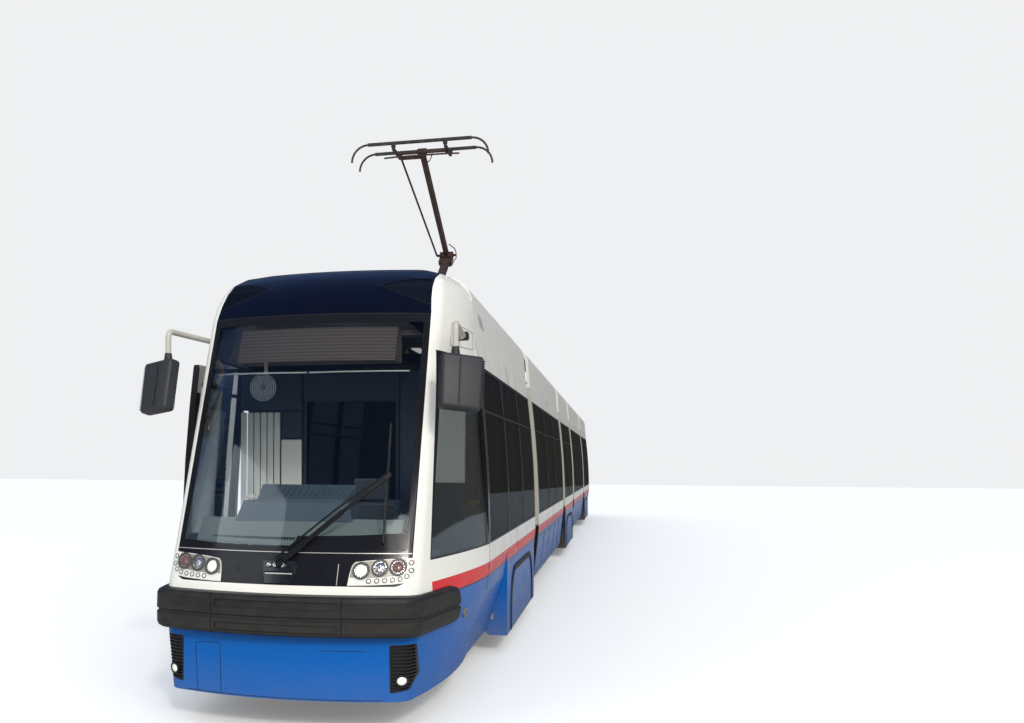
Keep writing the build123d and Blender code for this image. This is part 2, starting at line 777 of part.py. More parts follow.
def louvre_face():
    edges = [
        ThreePointArc(LOUVRE_POINT, *LOUVRE_UPPER),
        Line(LOUVRE_UPPER[1], LOUVRE_LOWER[0]),
        ThreePointArc(*LOUVRE_LOWER, LOUVRE_POINT),
    ]
    return make_face(Plane.XZ * Curve(edges))


def mask_plug(face, depth):
    """The piece of the mask's skin inside an outline, to this depth."""
    return front_only((through_face(face) & outer_mask) - PLACE * mask_solid(depth, 0), reach=NOSE_LENGTH)[0]


def grille_insert(face, slots):
    """A moulding let into the mask: a back, a rim, and the slats left between its slots."""
    insert = mask_plug(offset(face, -FIT), GRILLE_DEPTH - FIT)
    return insert - (mask_plug(offset(face, -GRILLE_RIM), GRILLE_DEPTH - GRILLE_BACK) & slots)


def rear(shape):
    """The placed copy of a piece at the other end of the tram."""
    return mirror(shape, about=Plane.XZ)


def front_only(*shapes, reach=NOSE_LENGTH / 2):
    """Keeps the pieces that lie on the face, not on the mask's open back."""
    kept = []
    for shape in shapes:
        for solid in shape.solids():
            if solid.center().Y < reach - LENGTH / 2:
                kept.append(solid)
    return kept


outer_mask = PLACE * mask_solid()
mask_skin = outer_mask - PLACE * mask_solid(MASK_SHEET, MASK_SHEET)
screen_size = (SCREEN_HALF_LOW, SCREEN_HALF_HIGH, SCREEN_LOW, SCREEN_HIGH, SCREEN_CORNER, NOSE_LENGTH / 2)
cab_window = PLACE * extrude(cab_window_face(), 2 * WAIST_X, dir=(1, 0, 0))
mask = mask_skin - PLACE * front_prism(*screen_size) - cab_window - other_side(cab_window)

glass_skin = outer_mask - PLACE * mask_solid(GLASS, 0)
screen = front_only(glass_skin & PLACE * front_prism(*screen_size, LINER_FIT))
cab_pane = glass_skin & PLACE * extrude(cab_window_face(LINER_FIT), 2 * WAIST_X, dir=(1, 0, 0))
bumper = PLACE * front_bumper() - PLACE * mask_solid(-FIT, 0)

lamp_x, lamp_z = LAMPS[-1][:2]
lamp_seat = PLACE * Pos(lamp_x, 0, lamp_z) * Rot(90, 0, 0) * Cylinder(FOG_LAMP_SEAT, 2 * NOSE_LENGTH)
apron_slots = Part()
z = APRON_GRILLE[0][1]
while z < APRON_GRILLE[1][1]:
    apron_slots += PLACE * block(0, WAIST_X, 0, NOSE_LENGTH / 2, z, z + APRON_SLAT_PITCH - APRON_SLAT)
    z += APRON_SLAT_PITCH
apron_slots -= lamp_seat
louvre_slots = Part()
x = LOUVRE_POINT[0]
while x < LOUVRE_UPPER[1][0]:
    louvre_slots += PLACE * block(x, x + LOUVRE_SLAT_PITCH - LOUVRE_SLAT, 0, NOSE_LENGTH, LOUVRE_LOWER[0][1], COWL_TOP)
    x += LOUVRE_SLAT_PITCH
grilles = []
for face, slots in ((apron_grille_face(), apron_slots), (louvre_face(), louvre_slots)):
    pocket = mask_plug(face, GRILLE_DEPTH)
    mask -= pocket
    mask -= other_side(pocket)
    insert = grille_insert(face, slots)
    grilles += [insert, other_side(insert)]

lens_skin = PLACE * mask_solid(-LENS_PROUD, 0) - PLACE * mask_solid(-FIT, 0)
lamps = []
for x, z, radius in LAMPS:
    for side in (-1, 1):
        barrel = PLACE * Pos(side * x, 0, z) * Rot(90, 0, 0) * Cylinder(radius, 2 * NOSE_LENGTH)
        lamps += front_only(barrel & lens_skin)

save_placed("nose_mask", mask)
save_placed("windscreen", *screen)
save_placed("front_bumper", bumper, *grilles)
save_placed("front_lamps", *lamps)
save_placed("tail_mask", rear(mask))
save_placed("rear_window", *[rear(pane) for pane in screen])
save_placed("rear_bumper", rear(bumper), *[rear(grille) for grille in grilles])
save_placed("tail_lamps", *[rear(lamp) for lamp in lamps])

for name, y0, y1, front, rear_end, bogie, doors in SECTIONS:
    body_shell(name, y0, y1, front, rear_end, bogie, doors)

# Roof units between the cowls. Columns: section, start and end from the section's start, half width, top
ROOF_UNITS = {
    "a": ((250, 2350, 700, 3330), (2550, 4350, 600, 3250)),
    "b": ((300, 2500, 720, 3320), (3000, 5300, 650, 3250)),
    "c": ((300, 1500, 640, 3260), (1750, 3000, 720, 3320)),
    "d": ((300, 2300, 650, 3250), (2900, 5300, 720, 3320)),
    "e": ((450, 2300, 720, 3320), (2700, 4200, 650, 3260)),
}
for name, y0, y1, front, rear_end, bogie, doors in SECTIONS:
    units = [(y0 + a, y0 + b, half, top) for a, b, half, top in ROOF_UNITS[name]]
    save(f"roof_{name}", roof(name, y0, y1, units))


# Floors. The hung sections carry the turntable discs, the others the eyes
def section_floor(y0, y1, front, rear_end, bogie):
    recess = TURNTABLE_RADIUS + TURNTABLE_GAP
    if bogie is None:
        floor = floor_slab(y0, y1, y0, y1, None)
        stretches = [(y0, y1)]
    else:
        low_start = bogie - RAISED_HALF - RAMP_LENGTH
        low_end = bogie + RAISED_HALF + RAMP_LENGTH
        if front:
            low_start = max(low_start, y0 - HALF_GAP + recess)
        if rear_end:
            low_end = min(low_end, y1 + HALF_GAP - recess)
        floor = floor_slab(y0, y1, low_start, low_end, bogie)
        stretches = [(y0, low_start), (low_end, y1)]
    top = FLOOR_TOP - FLOOR_THICKNESS + 1
    low = FLOOR_TOP - FLOOR_THICKNESS - BEAM_HEIGHT
    for start, end in stretches:
        if end - start > 2 * END_BEAM:
            for side in (-1, 1):
                floor += block(side * FLOOR_HALF, side * (FLOOR_HALF - BEAM_WIDTH), start, end, low, top)
            for y in (start, end - END_BEAM):
                floor += block(-FLOOR_HALF, FLOOR_HALF, y, y + END_BEAM, low, top)
    for present, pivot, edge, side in ((front, y0 - HALF_GAP, y0, 1), (rear_end, y1 + HALF_GAP, y1, -1)):
        if not present:
            continue
        if bogie is None:
            floor += turntable(pivot)
        else:
            floor -= Pos(0, pivot, FLOOR_TOP) * Cylinder(recess, 2 * FLOOR_THICKNESS)
            beam_top = FLOOR_TOP - FLOOR_THICKNESS - 1
            inner = edge + side * END_BEAM
            floor += block(-FLOOR_HALF, FLOOR_HALF, edge, inner, END_BEAM_LOW, beam_top)
            for across in (-1, 1):
                post = FLOOR_HALF - BEAM_WIDTH
                floor += block(across * post, across * FLOOR_HALF, edge, inner, beam_top - 1, FLOOR_TOP - 1)
            floor += pivot_eye(pivot, edge + side)
    return floor


# The cab floor reaches into the mask, with two draft beams and a drawbar plate under it
def cab_floor():
    top = FLOOR_TOP - FLOOR_THICKNESS + 1
    low = FLOOR_TOP - FLOOR_THICKNESS - BEAM_HEIGHT
    end = NOSE_LENGTH + BEAM_WIDTH
    room = PLACE * mask_solid(MASK_SHEET + FIT, 0)
    back = NOSE_LENGTH + FIT
    floor = room & PLACE * block(-WAIST_X, WAIST_X, 0, back, FLOOR_TOP - FLOOR_THICKNESS, FLOOR_TOP)
    for side in (-1, 1):
        floor += PLACE * block(side * DRAFT_X, side * (DRAFT_X + BEAM_WIDTH), DRAFT_START, end, low, top)
    plate_low = low + DRAWBAR_RISE
    plate = block(-DRAFT_X - 1, DRAFT_X + 1, DRAFT_START, DRAFT_START + DRAWBAR_DEPTH, plate_low, plate_low + DRAWBAR_PLATE)
    hole = Pos(0, DRAFT_START + DRAWBAR_DEPTH / 2, plate_low) * Cylinder(DRAWBAR_RADIUS, 4 * DRAWBAR_PLATE)
    return floor + PLACE * (plate - hole)


nose_floor = cab_floor()
for name, y0, y1, front, rear_end, bogie, doors in SECTIONS:
    floor = section_floor(y0, y1, front, rear_end, bogie)
    for span, turn in zip(tuck_spans(name, y0, y1, bogie, doors), (False, True)):
        if span is not None:
            room = tuck_slab(*span, 0, BOGIE_FLOOR_TOP + FLOOR_THICKNESS, -TUCK_SHEET - FIT, WAIST_X)
            floor -= other_side(room) if turn else room
    floor = PLACE * floor
    if name == "a":
        floor += nose_floor
    if name == "e":
        floor += rear(nose_floor)
    save_placed(f"floor_{name}", floor)


# Bellows: a rectangular sleeve with raised folds, between two end frames
def sleeve(half, low, high, corner, y0, y1):
    sketch = Pos(0, (low + high) / 2) * RectangleRounded(2 * half, high - low, corner)
    return Pos(0, y1, 0) * extrude(Plane.XZ * sketch, y1 - y0, dir=(0, -1, 0))


def bellows(pivot):
    y0 = pivot - HALF_GAP + FIT
    y1 = pivot + HALF_GAP - FIT
    pitch = (y1 - y0) / (2 * BELLOWS_FOLDS + 1)
    body = sleeve(BELLOWS_HALF, BELLOWS_LOW, BELLOWS_TOP, BELLOWS_CORNER, y0, y1)
    for i in range(BELLOWS_FOLDS):
        start = y0 + (2 * i + 1) * pitch
        body += sleeve(
            BELLOWS_HALF + FOLD_DEPTH,
            BELLOWS_LOW - FOLD_DEPTH,
            BELLOWS_TOP + FOLD_DEPTH,
            BELLOWS_CORNER + FOLD_DEPTH,
            start,
            start + pitch,
        )
    inside = BELLOWS_HALF - BELLOWS_SHEET
    return body - sleeve(
        inside,
        BELLOWS_LOW + BELLOWS_SHEET,
        BELLOWS_TOP - BELLOWS_SHEET,
        BELLOWS_CORNER - BELLOWS_SHEET,
        y0 - 1,
        y1 + 1,
    )


for pair, pivot in zip(("ab", "bc", "cd", "de"), PIVOTS):
    save(f"bellows_{pair}", bellows(pivot))


# Doors: leaves that follow the body side, with a tall window each
def door_leaf(y0, y1):
    leaf = side_slab(0, DOOR_THICKNESS, y0, y1, DOOR_LOW, DOOR_HIGH - DOOR_SEAL)
    return leaf - block(0, 2 * WAIST_X, y0 + DOOR_FRAME, y1 - DOOR_FRAME, DOOR_GLASS_LOW, DOOR_GLASS_HIGH)


def door_pane(y0, y1):
    pane = side_slab(0, GLASS, y0 + DOOR_FRAME, y1 - DOOR_FRAME)
    return pane & block(
        0,
        2 * WAIST_X,
        y0 + DOOR_FRAME + LINER_FIT,
        y1 - DOOR_FRAME - LINER_FIT,
        DOOR_GLASS_LOW + LINER_FIT,
        DOOR_GLASS_HIGH - LINER_FIT,
    )


def leaves(doorway):
    """Leaf spans of a doorway: one leaf, or two that meet in the middle."""
    start, end = doorway
    if end - start <= SINGLE_DOOR:
        return [(start + DOOR_SEAL, end - DOOR_SEAL)]
    middle = (start + end) / 2
    return [(start + DOOR_SEAL, middle - DOOR_SEAL / 2), (middle + DOOR_SEAL / 2, end - DOOR_SEAL)]


OPEN_DOOR = Pos(-OPEN_OUT, -OPEN_ALONG, 0)


def door_arms():
    """The swing arms that carry the open front leaf from the doorway's front post."""
    start = FRONT_DOORWAY[0] + FIT
    arms = None
    for z in DOOR_ARM_HEIGHTS:
        outside = -(side_x(z) - DOOR_THICKNESS + OPEN_OUT) - 3
        inside = -(side_x(z) - WALL)
        bar = block(outside, outside + DOOR_ARM, start - DOOR_FRAME - DOOR_ARM, start + DOOR_ARM, z, z + DOOR_ARM)
        bar += block(outside, inside, start, start + DOOR_ARM, z, z + DOOR_ARM)
        arms = bar if arms is None else arms + bar
    return arms


save("door_front", OPEN_DOOR * other_side(door_leaf(*leaves(FRONT_DOORWAY)[0])) + door_arms())
save("door_rear", other_side(door_leaf(*leaves(REAR_DOORWAY)[0])))
for name, centre in (("b", B_CENTRE), ("d", D_CENTRE)):
    save(
        f"doors_{name}",
        *[other_side(door_leaf(*leaf)) for doorway in double_doors(centre) for leaf in leaves(doorway)],
    )

# Glass of each section, with the panes of its doors
for name, y0, y1, front, rear_end, bogie, doors in SECTIONS:
    glass = side_glass(name, y0, y1, doors)
    for doorway in doors:
        for leaf in leaves(doorway):
            pane = other_side(door_pane(*leaf))
            glass.append(OPEN_DOOR * pane if doorway == FRONT_DOORWAY else pane)
    glass = [PLACE * pane for pane in glass]
    if name == "a":
        glass += [cab_pane, other_side(cab_pane)]
    if name == "e":
        glass += [rear(cab_pane), rear(other_side(cab_pane))]
    save_placed(f"glass_{name}", *glass)


# Wheelsets: one turned solid each
def wheelset(axle):
    back = WHEEL_BACK
    tip = WHEEL_RADIUS + FLANGE_DEPTH
    half = [
        (0, AXLE_RADIUS),
        (back - 20, AXLE_RADIUS),
        (back - 20, 110),
        (back + 25, 130),
        (back + 25, 235),
        (back, 245),
        (back, tip - 6),
        (back + 8, tip),
        (back + 18, tip),
        (GAUGE / 2 - 8, WHEEL_RADIUS),
        (WHEEL_OUTER, WHEEL_RADIUS - 3),
        (WHEEL_OUTER, 245),
        (WHEEL_OUTER - 30, 235),
        (WHEEL_OUTER - 30, 110),
        (WHEEL_OUTER + 15, 100),
        (WHEEL_OUTER + 15, JOURNAL_RADIUS),
        (FRAME_X + FRAME_WIDTH / 2 + 20, JOURNAL_RADIUS),
    ]
    points = [(-x, r) for x, r in reversed(half[1:])] + half[1:]
    last = points[-1][0]
    face = make_face(Polyline(*points, (last, 0), (-last, 0), close=True))
    return Pos(0, axle, WHEEL_RADIUS) * revolve(face, Axis.X)


BOGIES = (("a", BOGIE_FROM_END), ("c", LENGTH / 2), ("e", LENGTH - BOGIE_FROM_END))
AXLES = [centre + side * WHEELBASE / 2 for name, centre in BOGIES for side in (-1, 1)]
for number, axle in enumerate(AXLES, 1):
    save(f"wheelset_{number}", wheelset(axle))


# Bogie frames: side beams outside the wheels, axleboxes, cross beams, motors, springs and rail brakes
def bogie_frame(centre):
    outer = FRAME_X + FRAME_WIDTH / 2
    inner = FRAME_X - FRAME_WIDTH / 2
    beam_half = WHEELBASE / 2 - AXLEBOX_HALF + 1
    frame = None
    for side in (-1, 1):
        beam = block(side * inner, side * outer, centre - beam_half, centre + beam_half, FRAME_LOW, FRAME_HIGH)
        for end in (-1, 1):
            axle = centre + end * WHEELBASE / 2
            box = block(
                side * inner,
                side * outer,
                axle - AXLEBOX_HALF,
                axle + AXLEBOX_HALF,
                WHEEL_RADIUS - AXLEBOX_HEIGHT,
                WHEEL_RADIUS + AXLEBOX_HEIGHT,
            )
            bore = Pos(0, axle, WHEEL_RADIUS) * Rot(0, 90, 0) * Cylinder(JOURNAL_RADIUS + JOURNAL_FIT, 4 * outer)
            beam += box - bore
            spring_low = FRAME_HIGH - 1
            spring_high = BOGIE_FLOOR_TOP - FLOOR_THICKNESS - FIT
            spring = Cylinder(SPRING_RADIUS - FIT, spring_high - spring_low)
            beam += Pos(side * FRAME_X, centre + end * WHEELBASE / 6, (spring_low + spring_high) / 2) * spring
        frame = beam if frame is None else frame + beam
    for end in (-1, 1):
        y = centre + end * WHEELBASE / 5
        frame += block(-inner - 1, inner + 1, y - CROSS_BEAM / 2, y + CROSS_BEAM / 2, FRAME_LOW, FRAME_HIGH - 20)
    motor = block(-MOTOR_HALF, MOTOR_HALF, centre - WHEELBASE / 5, centre + WHEELBASE / 5, MOTOR_LOW, MOTOR_HIGH)
    frame += chamfer(motor.edges().filter_by(Axis.X), MOTOR_EDGE)
    for side in (-1, 1):
        half = BRAKE_WIDTH / 2
        x = side * (GAUGE / 2 + 30)
        frame += block(x - half, x + half, centre - BRAKE_LENGTH / 2, centre + BRAKE_LENGTH / 2, BRAKE_LOW, BRAKE_HIGH)
        for end in (-1, 1):
            y = centre + end * WHEELBASE / 5
            frame += block(x - half / 2, x + half / 2, y - 30, y + 30, BRAKE_HIGH - 1, FRAME_LOW + 1)
    return frame


for name, centre in BOGIES:
    save(f"bogie_{name}", bogie_frame(centre))


# Interior: wheel boxes, seats, grab poles and the cab wall
SEAT_WIDTH = 440
SEAT_DEPTH = 430
SEAT_PITCH = 760
SEAT_HEIGHT = 430
SEAT_BACK = 480
SEAT_SHEET = 45
SEAT_POST = 120
POLE_RADIUS = 17
POLE_SPREAD = 700
AISLE_POLE_X = -450
END_POLE_X = 350
END_POLE_Y = 450
SEAT_COLUMNS = (340, 800)
BOX_SEAT_GAP = 60
BOX_CUSHION = 60
BOX_SEAT_SET = 0.6 * SEAT_DEPTH
CAB_WALL_Y = NOSE_LENGTH - 70
CAB_WALL_HALF = 960
CAB_WALL_SHEET = 40
CAB_WALL_TOP = 2750
# window in the cab wall: right edge, left edge, foot, head
CAB_WALL_WINDOW = (-420, 380, 1150, 2350)
DRIVER_X = 250
DRIVER_Y = 1350
DRIVER_CUSHION = (520, 480, 90)
DRIVER_SEAT_TOP = 890
DRIVER_BACK = (500, 90, 680)
DRIVER_HEADREST = (280, 80, 190)
DRIVER_BACK_RISE = 290
DRIVER_HEAD_SET = 75
DRIVER_HEAD_RISE = 700
DRIVER_RECLINE = 12
DRIVER_POST_RADIUS = 70


def seat(x, y, floor, facing):
    """An L-shaped shell on a pedestal; facing is +1 towards the tail."""
    top = floor + SEAT_HEIGHT
    low = floor + FIT
    base = block(x - SEAT_WIDTH / 2, x + SEAT_WIDTH / 2, y - SEAT_DEPTH / 2, y + SEAT_DEPTH / 2, top - SEAT_SHEET, top)
    back_y = y - facing * SEAT_DEPTH / 2
    base += block(
        x - SEAT_WIDTH / 2,
        x + SEAT_WIDTH / 2,
        back_y,
        back_y + facing * SEAT_SHEET,
        top - SEAT_SHEET,
        top + SEAT_BACK,
    )
    return base + block(x - SEAT_POST / 2, x + SEAT_POST / 2, y - SEAT_POST, y + SEAT_POST, low, top - 1)


def wheel_box(side, centre):
    outer = FLOOR_HALF - 40
    low = BOGIE_FLOOR_TOP + FIT
    half = RAISED_HALF - 10
    box = block(side * BOX_INNER_X, side * outer, centre - half, centre + half, low, BOX_TOP)
    return box - block(
        side * (BOX_INNER_X + BOX_SHEET),
        side * (outer - BOX_SHEET),
        centre - half + BOX_SHEET,
        centre + half - BOX_SHEET,
        low - 1,
        BOX_TOP - BOX_SHEET,
    )


def pole(x, y, floor):
    low = floor + FIT
    high = SIDE_TOP
    return Pos(x, y, (low + high) / 2) * Cylinder(POLE_RADIUS, high - low)


def box_seats(side, centre):
    seats = []
    for end in (-1, 1):
        for facing in (-1, 1):
            y = centre + end * RAISED_HALF / 2 - facing * BOX_SEAT_SET
            x = side * (BOX_INNER_X + SEAT_WIDTH / 2 + BOX_SEAT_GAP)
            low = BOX_TOP + FIT
            cushion = block(x - SEAT_WIDTH / 2, x + SEAT_WIDTH / 2, y - SEAT_DEPTH / 2, y + SEAT_DEPTH / 2, low, low + BOX_CUSHION)
            back_y = y - facing * SEAT_DEPTH / 2
            cushion += block(
                x - SEAT_WIDTH / 2, x + SEAT_WIDTH / 2, back_y, back_y + facing * SEAT_SHEET, low, low + SEAT_BACK
            )
            seats.append(cushion)
    return seats


def cab_wall():
    y = CAB_WALL_Y
    wall = block(-CAB_WALL_HALF, CAB_WALL_HALF, y, y + CAB_WALL_SHEET, FLOOR_TOP + FIT, CAB_WALL_TOP)
    right, left, foot, head = CAB_WALL_WINDOW
    return wall - block(right, left, y - 1, y + CAB_WALL_SHEET + 1, foot, head)


def driver_seat():
    width, depth, thick = DRIVER_CUSHION
    cushion = Pos(DRIVER_X, DRIVER_Y, DRIVER_SEAT_TOP - thick / 2) * Box(width, depth, thick)
    back_y = DRIVER_Y + depth / 2
    back = Pos(DRIVER_X, back_y, DRIVER_SEAT_TOP + DRIVER_BACK_RISE) * Rot(-DRIVER_RECLINE, 0, 0) * Box(*DRIVER_BACK)
    head = Pos(DRIVER_X, back_y + DRIVER_HEAD_SET, DRIVER_SEAT_TOP + DRIVER_HEAD_RISE) * Rot(-DRIVER_RECLINE, 0, 0) * Box(*DRIVER_HEADREST)
    low = FLOOR_TOP + FIT
    high = DRIVER_SEAT_TOP - thick + 1
    post = Pos(DRIVER_X, DRIVER_Y, (low + high) / 2) * Cylinder(DRIVER_POST_RADIUS, high - low)
    return cushion + back + head + post


for name, y0, y1, front, rear_end, bogie, doors in SECTIONS:
    pieces = []
    if bogie is not None:
        for side in (-1, 1):
            pieces.append(wheel_box(side, bogie))
            pieces += box_seats(side, bogie)
        if name != "c":
            y = y0 + END_POLE_Y if name == "a" else y1 - END_POLE_Y
            pieces.append(pole(END_POLE_X, y, FLOOR_TOP))
    else:
        middle = (y0 + y1) / 2
        rows = [middle - DOUBLE_DOOR_OFFSET, middle, middle + DOUBLE_DOOR_OFFSET]
        for y in rows:
            for step, facing in ((-SEAT_PITCH / 2, 1), (SEAT_PITCH / 2, -1)):
                for x in SEAT_COLUMNS:
                    pieces.append(seat(x, y + step, FLOOR_TOP, facing))
        for y in (middle - POLE_SPREAD, middle + POLE_SPREAD):
            pieces.append(pole(AISLE_POLE_X, y, FLOOR_TOP))
    if name == "a":
        pieces += [cab_wall(), driver_seat()]
    save(f"interior_{name}", *pieces)


# Driver's desk and the display box, both shaped to the inside of the mask
def face_y(x, z):
    """Where the face of the mask lies, along the tram."""
    levels = [(row[0], row[1]) for row in MASK_LEVELS]
    for (z0, y0), (z1, y1) in zip(levels, levels[1:]):
        if z0 <= z <= z1:
            centre = y0 + (y1 - y0) * (z - z0) / (z1 - z0)
            return centre + FACE_RADIUS - sqrt(FACE_RADIUS**2 - x**2)
    return levels[0][1]


cab_room = PLACE * mask_solid(MASK_SHEET + LINER_FIT, 0)
desk = cab_room & PLACE * block(-WAIST_X, WAIST_X, 0, DASH_DEPTH, DASH_LOW, DASH_HIGH)
hood_right, hood_left, hood_front, hood_back = HOOD
desk += PLACE * block(hood_right, hood_left, hood_front, hood_back, DASH_HIGH - 1, HOOD_HIGH)
foot_half, foot_front, foot_back = DESK_FOOT
desk_foot = PLACE * block(-foot_half, foot_half, foot_front, foot_back, FLOOR_TOP + FIT, DASH_LOW + 1)
half, low, high = DISPLAY
display_y = face_y(0, high) + DISPLAY_DEPTH
display = cab_room & PLACE * block(-half, half, 0, display_y, low, high)
for side in (-1, 1):
    bracket = block(side * (half - 1), side * WAIST_X, display_y - DISPLAY_BRACKET, display_y - 1, high - DISPLAY_BRACKET, high - 1)
    display += cab_room & PLACE * bracket
save_placed("dashboard", desk + desk_foot, display)


# Wiper
def rod(start, end, radius):
    path = Line(start, end)
    return extrude(Plane(origin=path @ 0, z_dir=path % 0) * Circle(radius), path.length)


def on_screen(x, z, stand):
    return (x, face_y(x, z) - stand, z)


low, high = WIPER_BASE[1] - WIPER_CAP_HALF, WIPER_BASE[1] + WIPER_CAP_HALF
wiper_base = PLACE * block(-WIPER_CAP, WIPER_CAP, *WIPER_CAP_SPAN, low, high) - PLACE * mask_solid(-FIT, 0)
wiper_base = front_only(wiper_base)[0]
wiper = wiper_base
for start, end in zip(WIPER_ARM_POINTS, WIPER_ARM_POINTS[1:]):
    wiper += PLACE * rod(on_screen(*start, WIPER_STAND), on_screen(*end, WIPER_STAND), WIPER_ARM / 2)
wiper += PLACE * rod(*[on_screen(x, z, WIPER_LIFT) for x, z in WIPER_BLADE], WIPER_RUBBER)
save_placed("wiper", wiper)


# Mirrors
def mirror_unit():
    shell = Box(MIRROR_WIDTH, MIRROR_DEPTH, MIRROR_HEIGHT)
    shell = fillet(shell.edges().filter_by(Axis.Y), MIRROR_EDGE)
    shell = chamfer(shell.faces().sort_by(Axis.Y)[0].edges(), MIRROR_CHAMFER)
    unit = Pos(*MIRROR_CENTRE) * Rot(-MIRROR_TILT, 0, MIRROR_TURN) * shell
    x, y = MIRROR_DROP
    root_x, root_y, root_z = MIRROR_ROOT
    points = [
        MIRROR_ROOT,
        (root_x + MIRROR_BEND, root_y - MIRROR_LEAD, root_z),
        (x, y, root_z),
        (x, y, MIRROR_CENTRE[2] + MIRROR_HEIGHT / 2 - MIRROR_EDGE),
    ]
    path = FilletPolyline(*points, radius=MIRROR_BEND)
    tube = sweep(Plane(origin=path @ 0, z_dir=path % 0) * Circle(MIRROR_TUBE), path)
    return unit + tube


left_mirror = PLACE * mirror_unit() - PLACE * mask_solid(-FIT, 0)
save_placed("mirrors", left_mirror, other_side(left_mirror))


# Pantograph
def insulator(x, y):
    high = PANTO_FRAME_LOW + 1
    low = PANTO_SEAT + FIT
    pitch = (high - low) / (2 * INSULATOR_RIBS + 1)
    points = [(0, low), (INSULATOR_RADIUS, low)]
    for i in range(INSULATOR_RIBS):
        z = low + (2 * i + 1) * pitch
        points += [(INSULATOR_RADIUS, z), (INSULATOR_RIB, z + pitch / 2), (INSULATOR_RADIUS, z + pitch)]
    points += [(INSULATOR_RADIUS, high), (0, high)]
    return Pos(x, y, 0) * revolve(make_face(Plane.XZ * Polyline(*points, close=True)), Axis.Z)


def cross_pin(point, half, radius):
    return Pos(0, point[0], point[1]) * Rot(0, 90, 0) * Cylinder(radius, 2 * half)


frame_low = PANTO_FRAME_LOW
frame_high = frame_low + PANTO_FRAME
half = PANTO_FRAME_HALF
first, last = PANTO_FRAME_ENDS
base = block(-half, half, first, last, frame_low, frame_high)
base -= block(
    PANTO_FRAME - half, half - PANTO_FRAME, first + PANTO_FRAME, last - PANTO_FRAME, frame_low - 1, frame_high + 1
)
for side in (-1, 1):
    for y in (first + PANTO_FRAME / 2, last - PANTO_FRAME / 2):
        base += insulator(side * (half - PANTO_FRAME / 2), y)
    inner = half - PANTO_FRAME
    y, z = PANTO_BASE
    low, high = y - BEARING_RADIUS, y + BEARING_RADIUS
    bearing = block(side * inner, side * (inner + PANTO_BEARING), low, high, frame_high - 1, z)
    bearing += Pos(side * (inner + PANTO_BEARING / 2), y, z) * Rot(0, 90, 0) * Cylinder(BEARING_RADIUS, PANTO_BEARING)
    base += bearing
base -= cross_pin(PANTO_BASE, half + PANTO_BEARING, PANTO_SHAFT + PIN_FIT)
save("pantograph_base", base)


def between(start, end, x, radius):
    return rod((x, *start), (x, *end), radius)


def along(start, end, distance):
    length = hypot(end[0] - start[0], end[1] - start[1])
    return (
        start[0] + (end[0] - start[0]) * distance / length,
        start[1] + (end[1] - start[1]) * distance / length,
    )


lower = cross_pin(PANTO_BASE, PANTO_FRAME_HALF + 10, PANTO_SHAFT)
lower += between(PANTO_BASE, PANTO_KNEE, 0, PANTO_ARM)
lower += cross_pin(PANTO_KNEE, KNEE_EYE, KNEE_EYE)
lower -= cross_pin(PANTO_KNEE, 2 * KNEE_EYE, KNEE_PIN + PIN_FIT)
save("pantograph_lower_arm", lower)

ear_in = KNEE_EYE + EAR_GAP
ear_out = ear_in + EAR
upper = cross_pin(PANTO_KNEE, ear_out, KNEE_PIN)
reach = hypot(PANTO_HEAD[0] - PANTO_KNEE[0], PANTO_HEAD[1] - PANTO_KNEE[1])
up = ((PANTO_HEAD[1] - PANTO_KNEE[1]) / reach, (PANTO_KNEE[0] - PANTO_HEAD[0]) / reach)
arm_start = (PANTO_KNEE[0] + UPPER_OFFSET * up[0], PANTO_KNEE[1] + UPPER_OFFSET * up[1])
knee_middle = ((PANTO_KNEE[0] + arm_start[0]) / 2, (PANTO_KNEE[1] + arm_start[1]) / 2)
for side in (-1, 1):
    capsule = Rot(0, 0, degrees(atan2(up[1], up[0]))) * SlotCenterToCenter(UPPER_OFFSET, EAR_WIDTH)
    ear = Pos(side * (ear_in + EAR / 2), *knee_middle) * extrude(Plane.YZ * capsule, EAR / 2, both=True)
    upper += ear
upper += cross_pin(arm_start, ear_out, PANTO_UPPER + GUIDE_ROD)
upper += between(arm_start, PANTO_HEAD, 0, PANTO_UPPER)
upper += cross_pin(PANTO_HEAD, HEAD_EYE_HALF, HEAD_EYE)
upper -= cross_pin(PANTO_HEAD, 2 * HEAD_EYE_HALF, HEAD_PIN + PIN_FIT)
guide_low = arm_start
guide_high = along(PANTO_HEAD, PANTO_KNEE, 2 * HEAD_EYE)
upper += cross_pin(guide_low, -GUIDE_X, GUIDE_EYE)
upper += Pos(GUIDE_TOP_X / 2, 0, 0) * cross_pin(guide_high, -GUIDE_TOP_X / 2, GUIDE_EYE)
upper += rod((GUIDE_X, *guide_low), (GUIDE_TOP_X, *guide_high), GUIDE_ROD)
save("pantograph_upper_arm", upper)

y, z = PANTO_HEAD
head = cross_pin(PANTO_HEAD, HEAD_HALF, HEAD_PIN)
strip_low = z + HEAD_EYE + STRIP_RISE
for side in (-1, 1):
    x = side * HEAD_HALF
    bar = (x - HEAD_BAR, x + HEAD_BAR)
    head += block(*bar, y - STRIP_SPACING / 2, y + STRIP_SPACING / 2, z - HEAD_BAR, z + HEAD_BAR)
    for end in (-1, 1):
        strip_y = y + end * STRIP_SPACING / 2
        head += block(*bar, strip_y - HEAD_BAR, strip_y + HEAD_BAR, z - HEAD_BAR, strip_low + 1)
        bend = JernArc((side * (STRIP_HALF - 1), 0), (side, 0), HORN_RADIUS, -side * 90)
        path = Plane(origin=(0, strip_y, strip_low + STRIP_HEIGHT / 2), x_dir=(1, 0, 0), z_dir=(0, -1, 0)) * bend
        head += sweep(Plane(origin=path @ 0, z_dir=path % 0) * Circle(HORN_ROD), path)
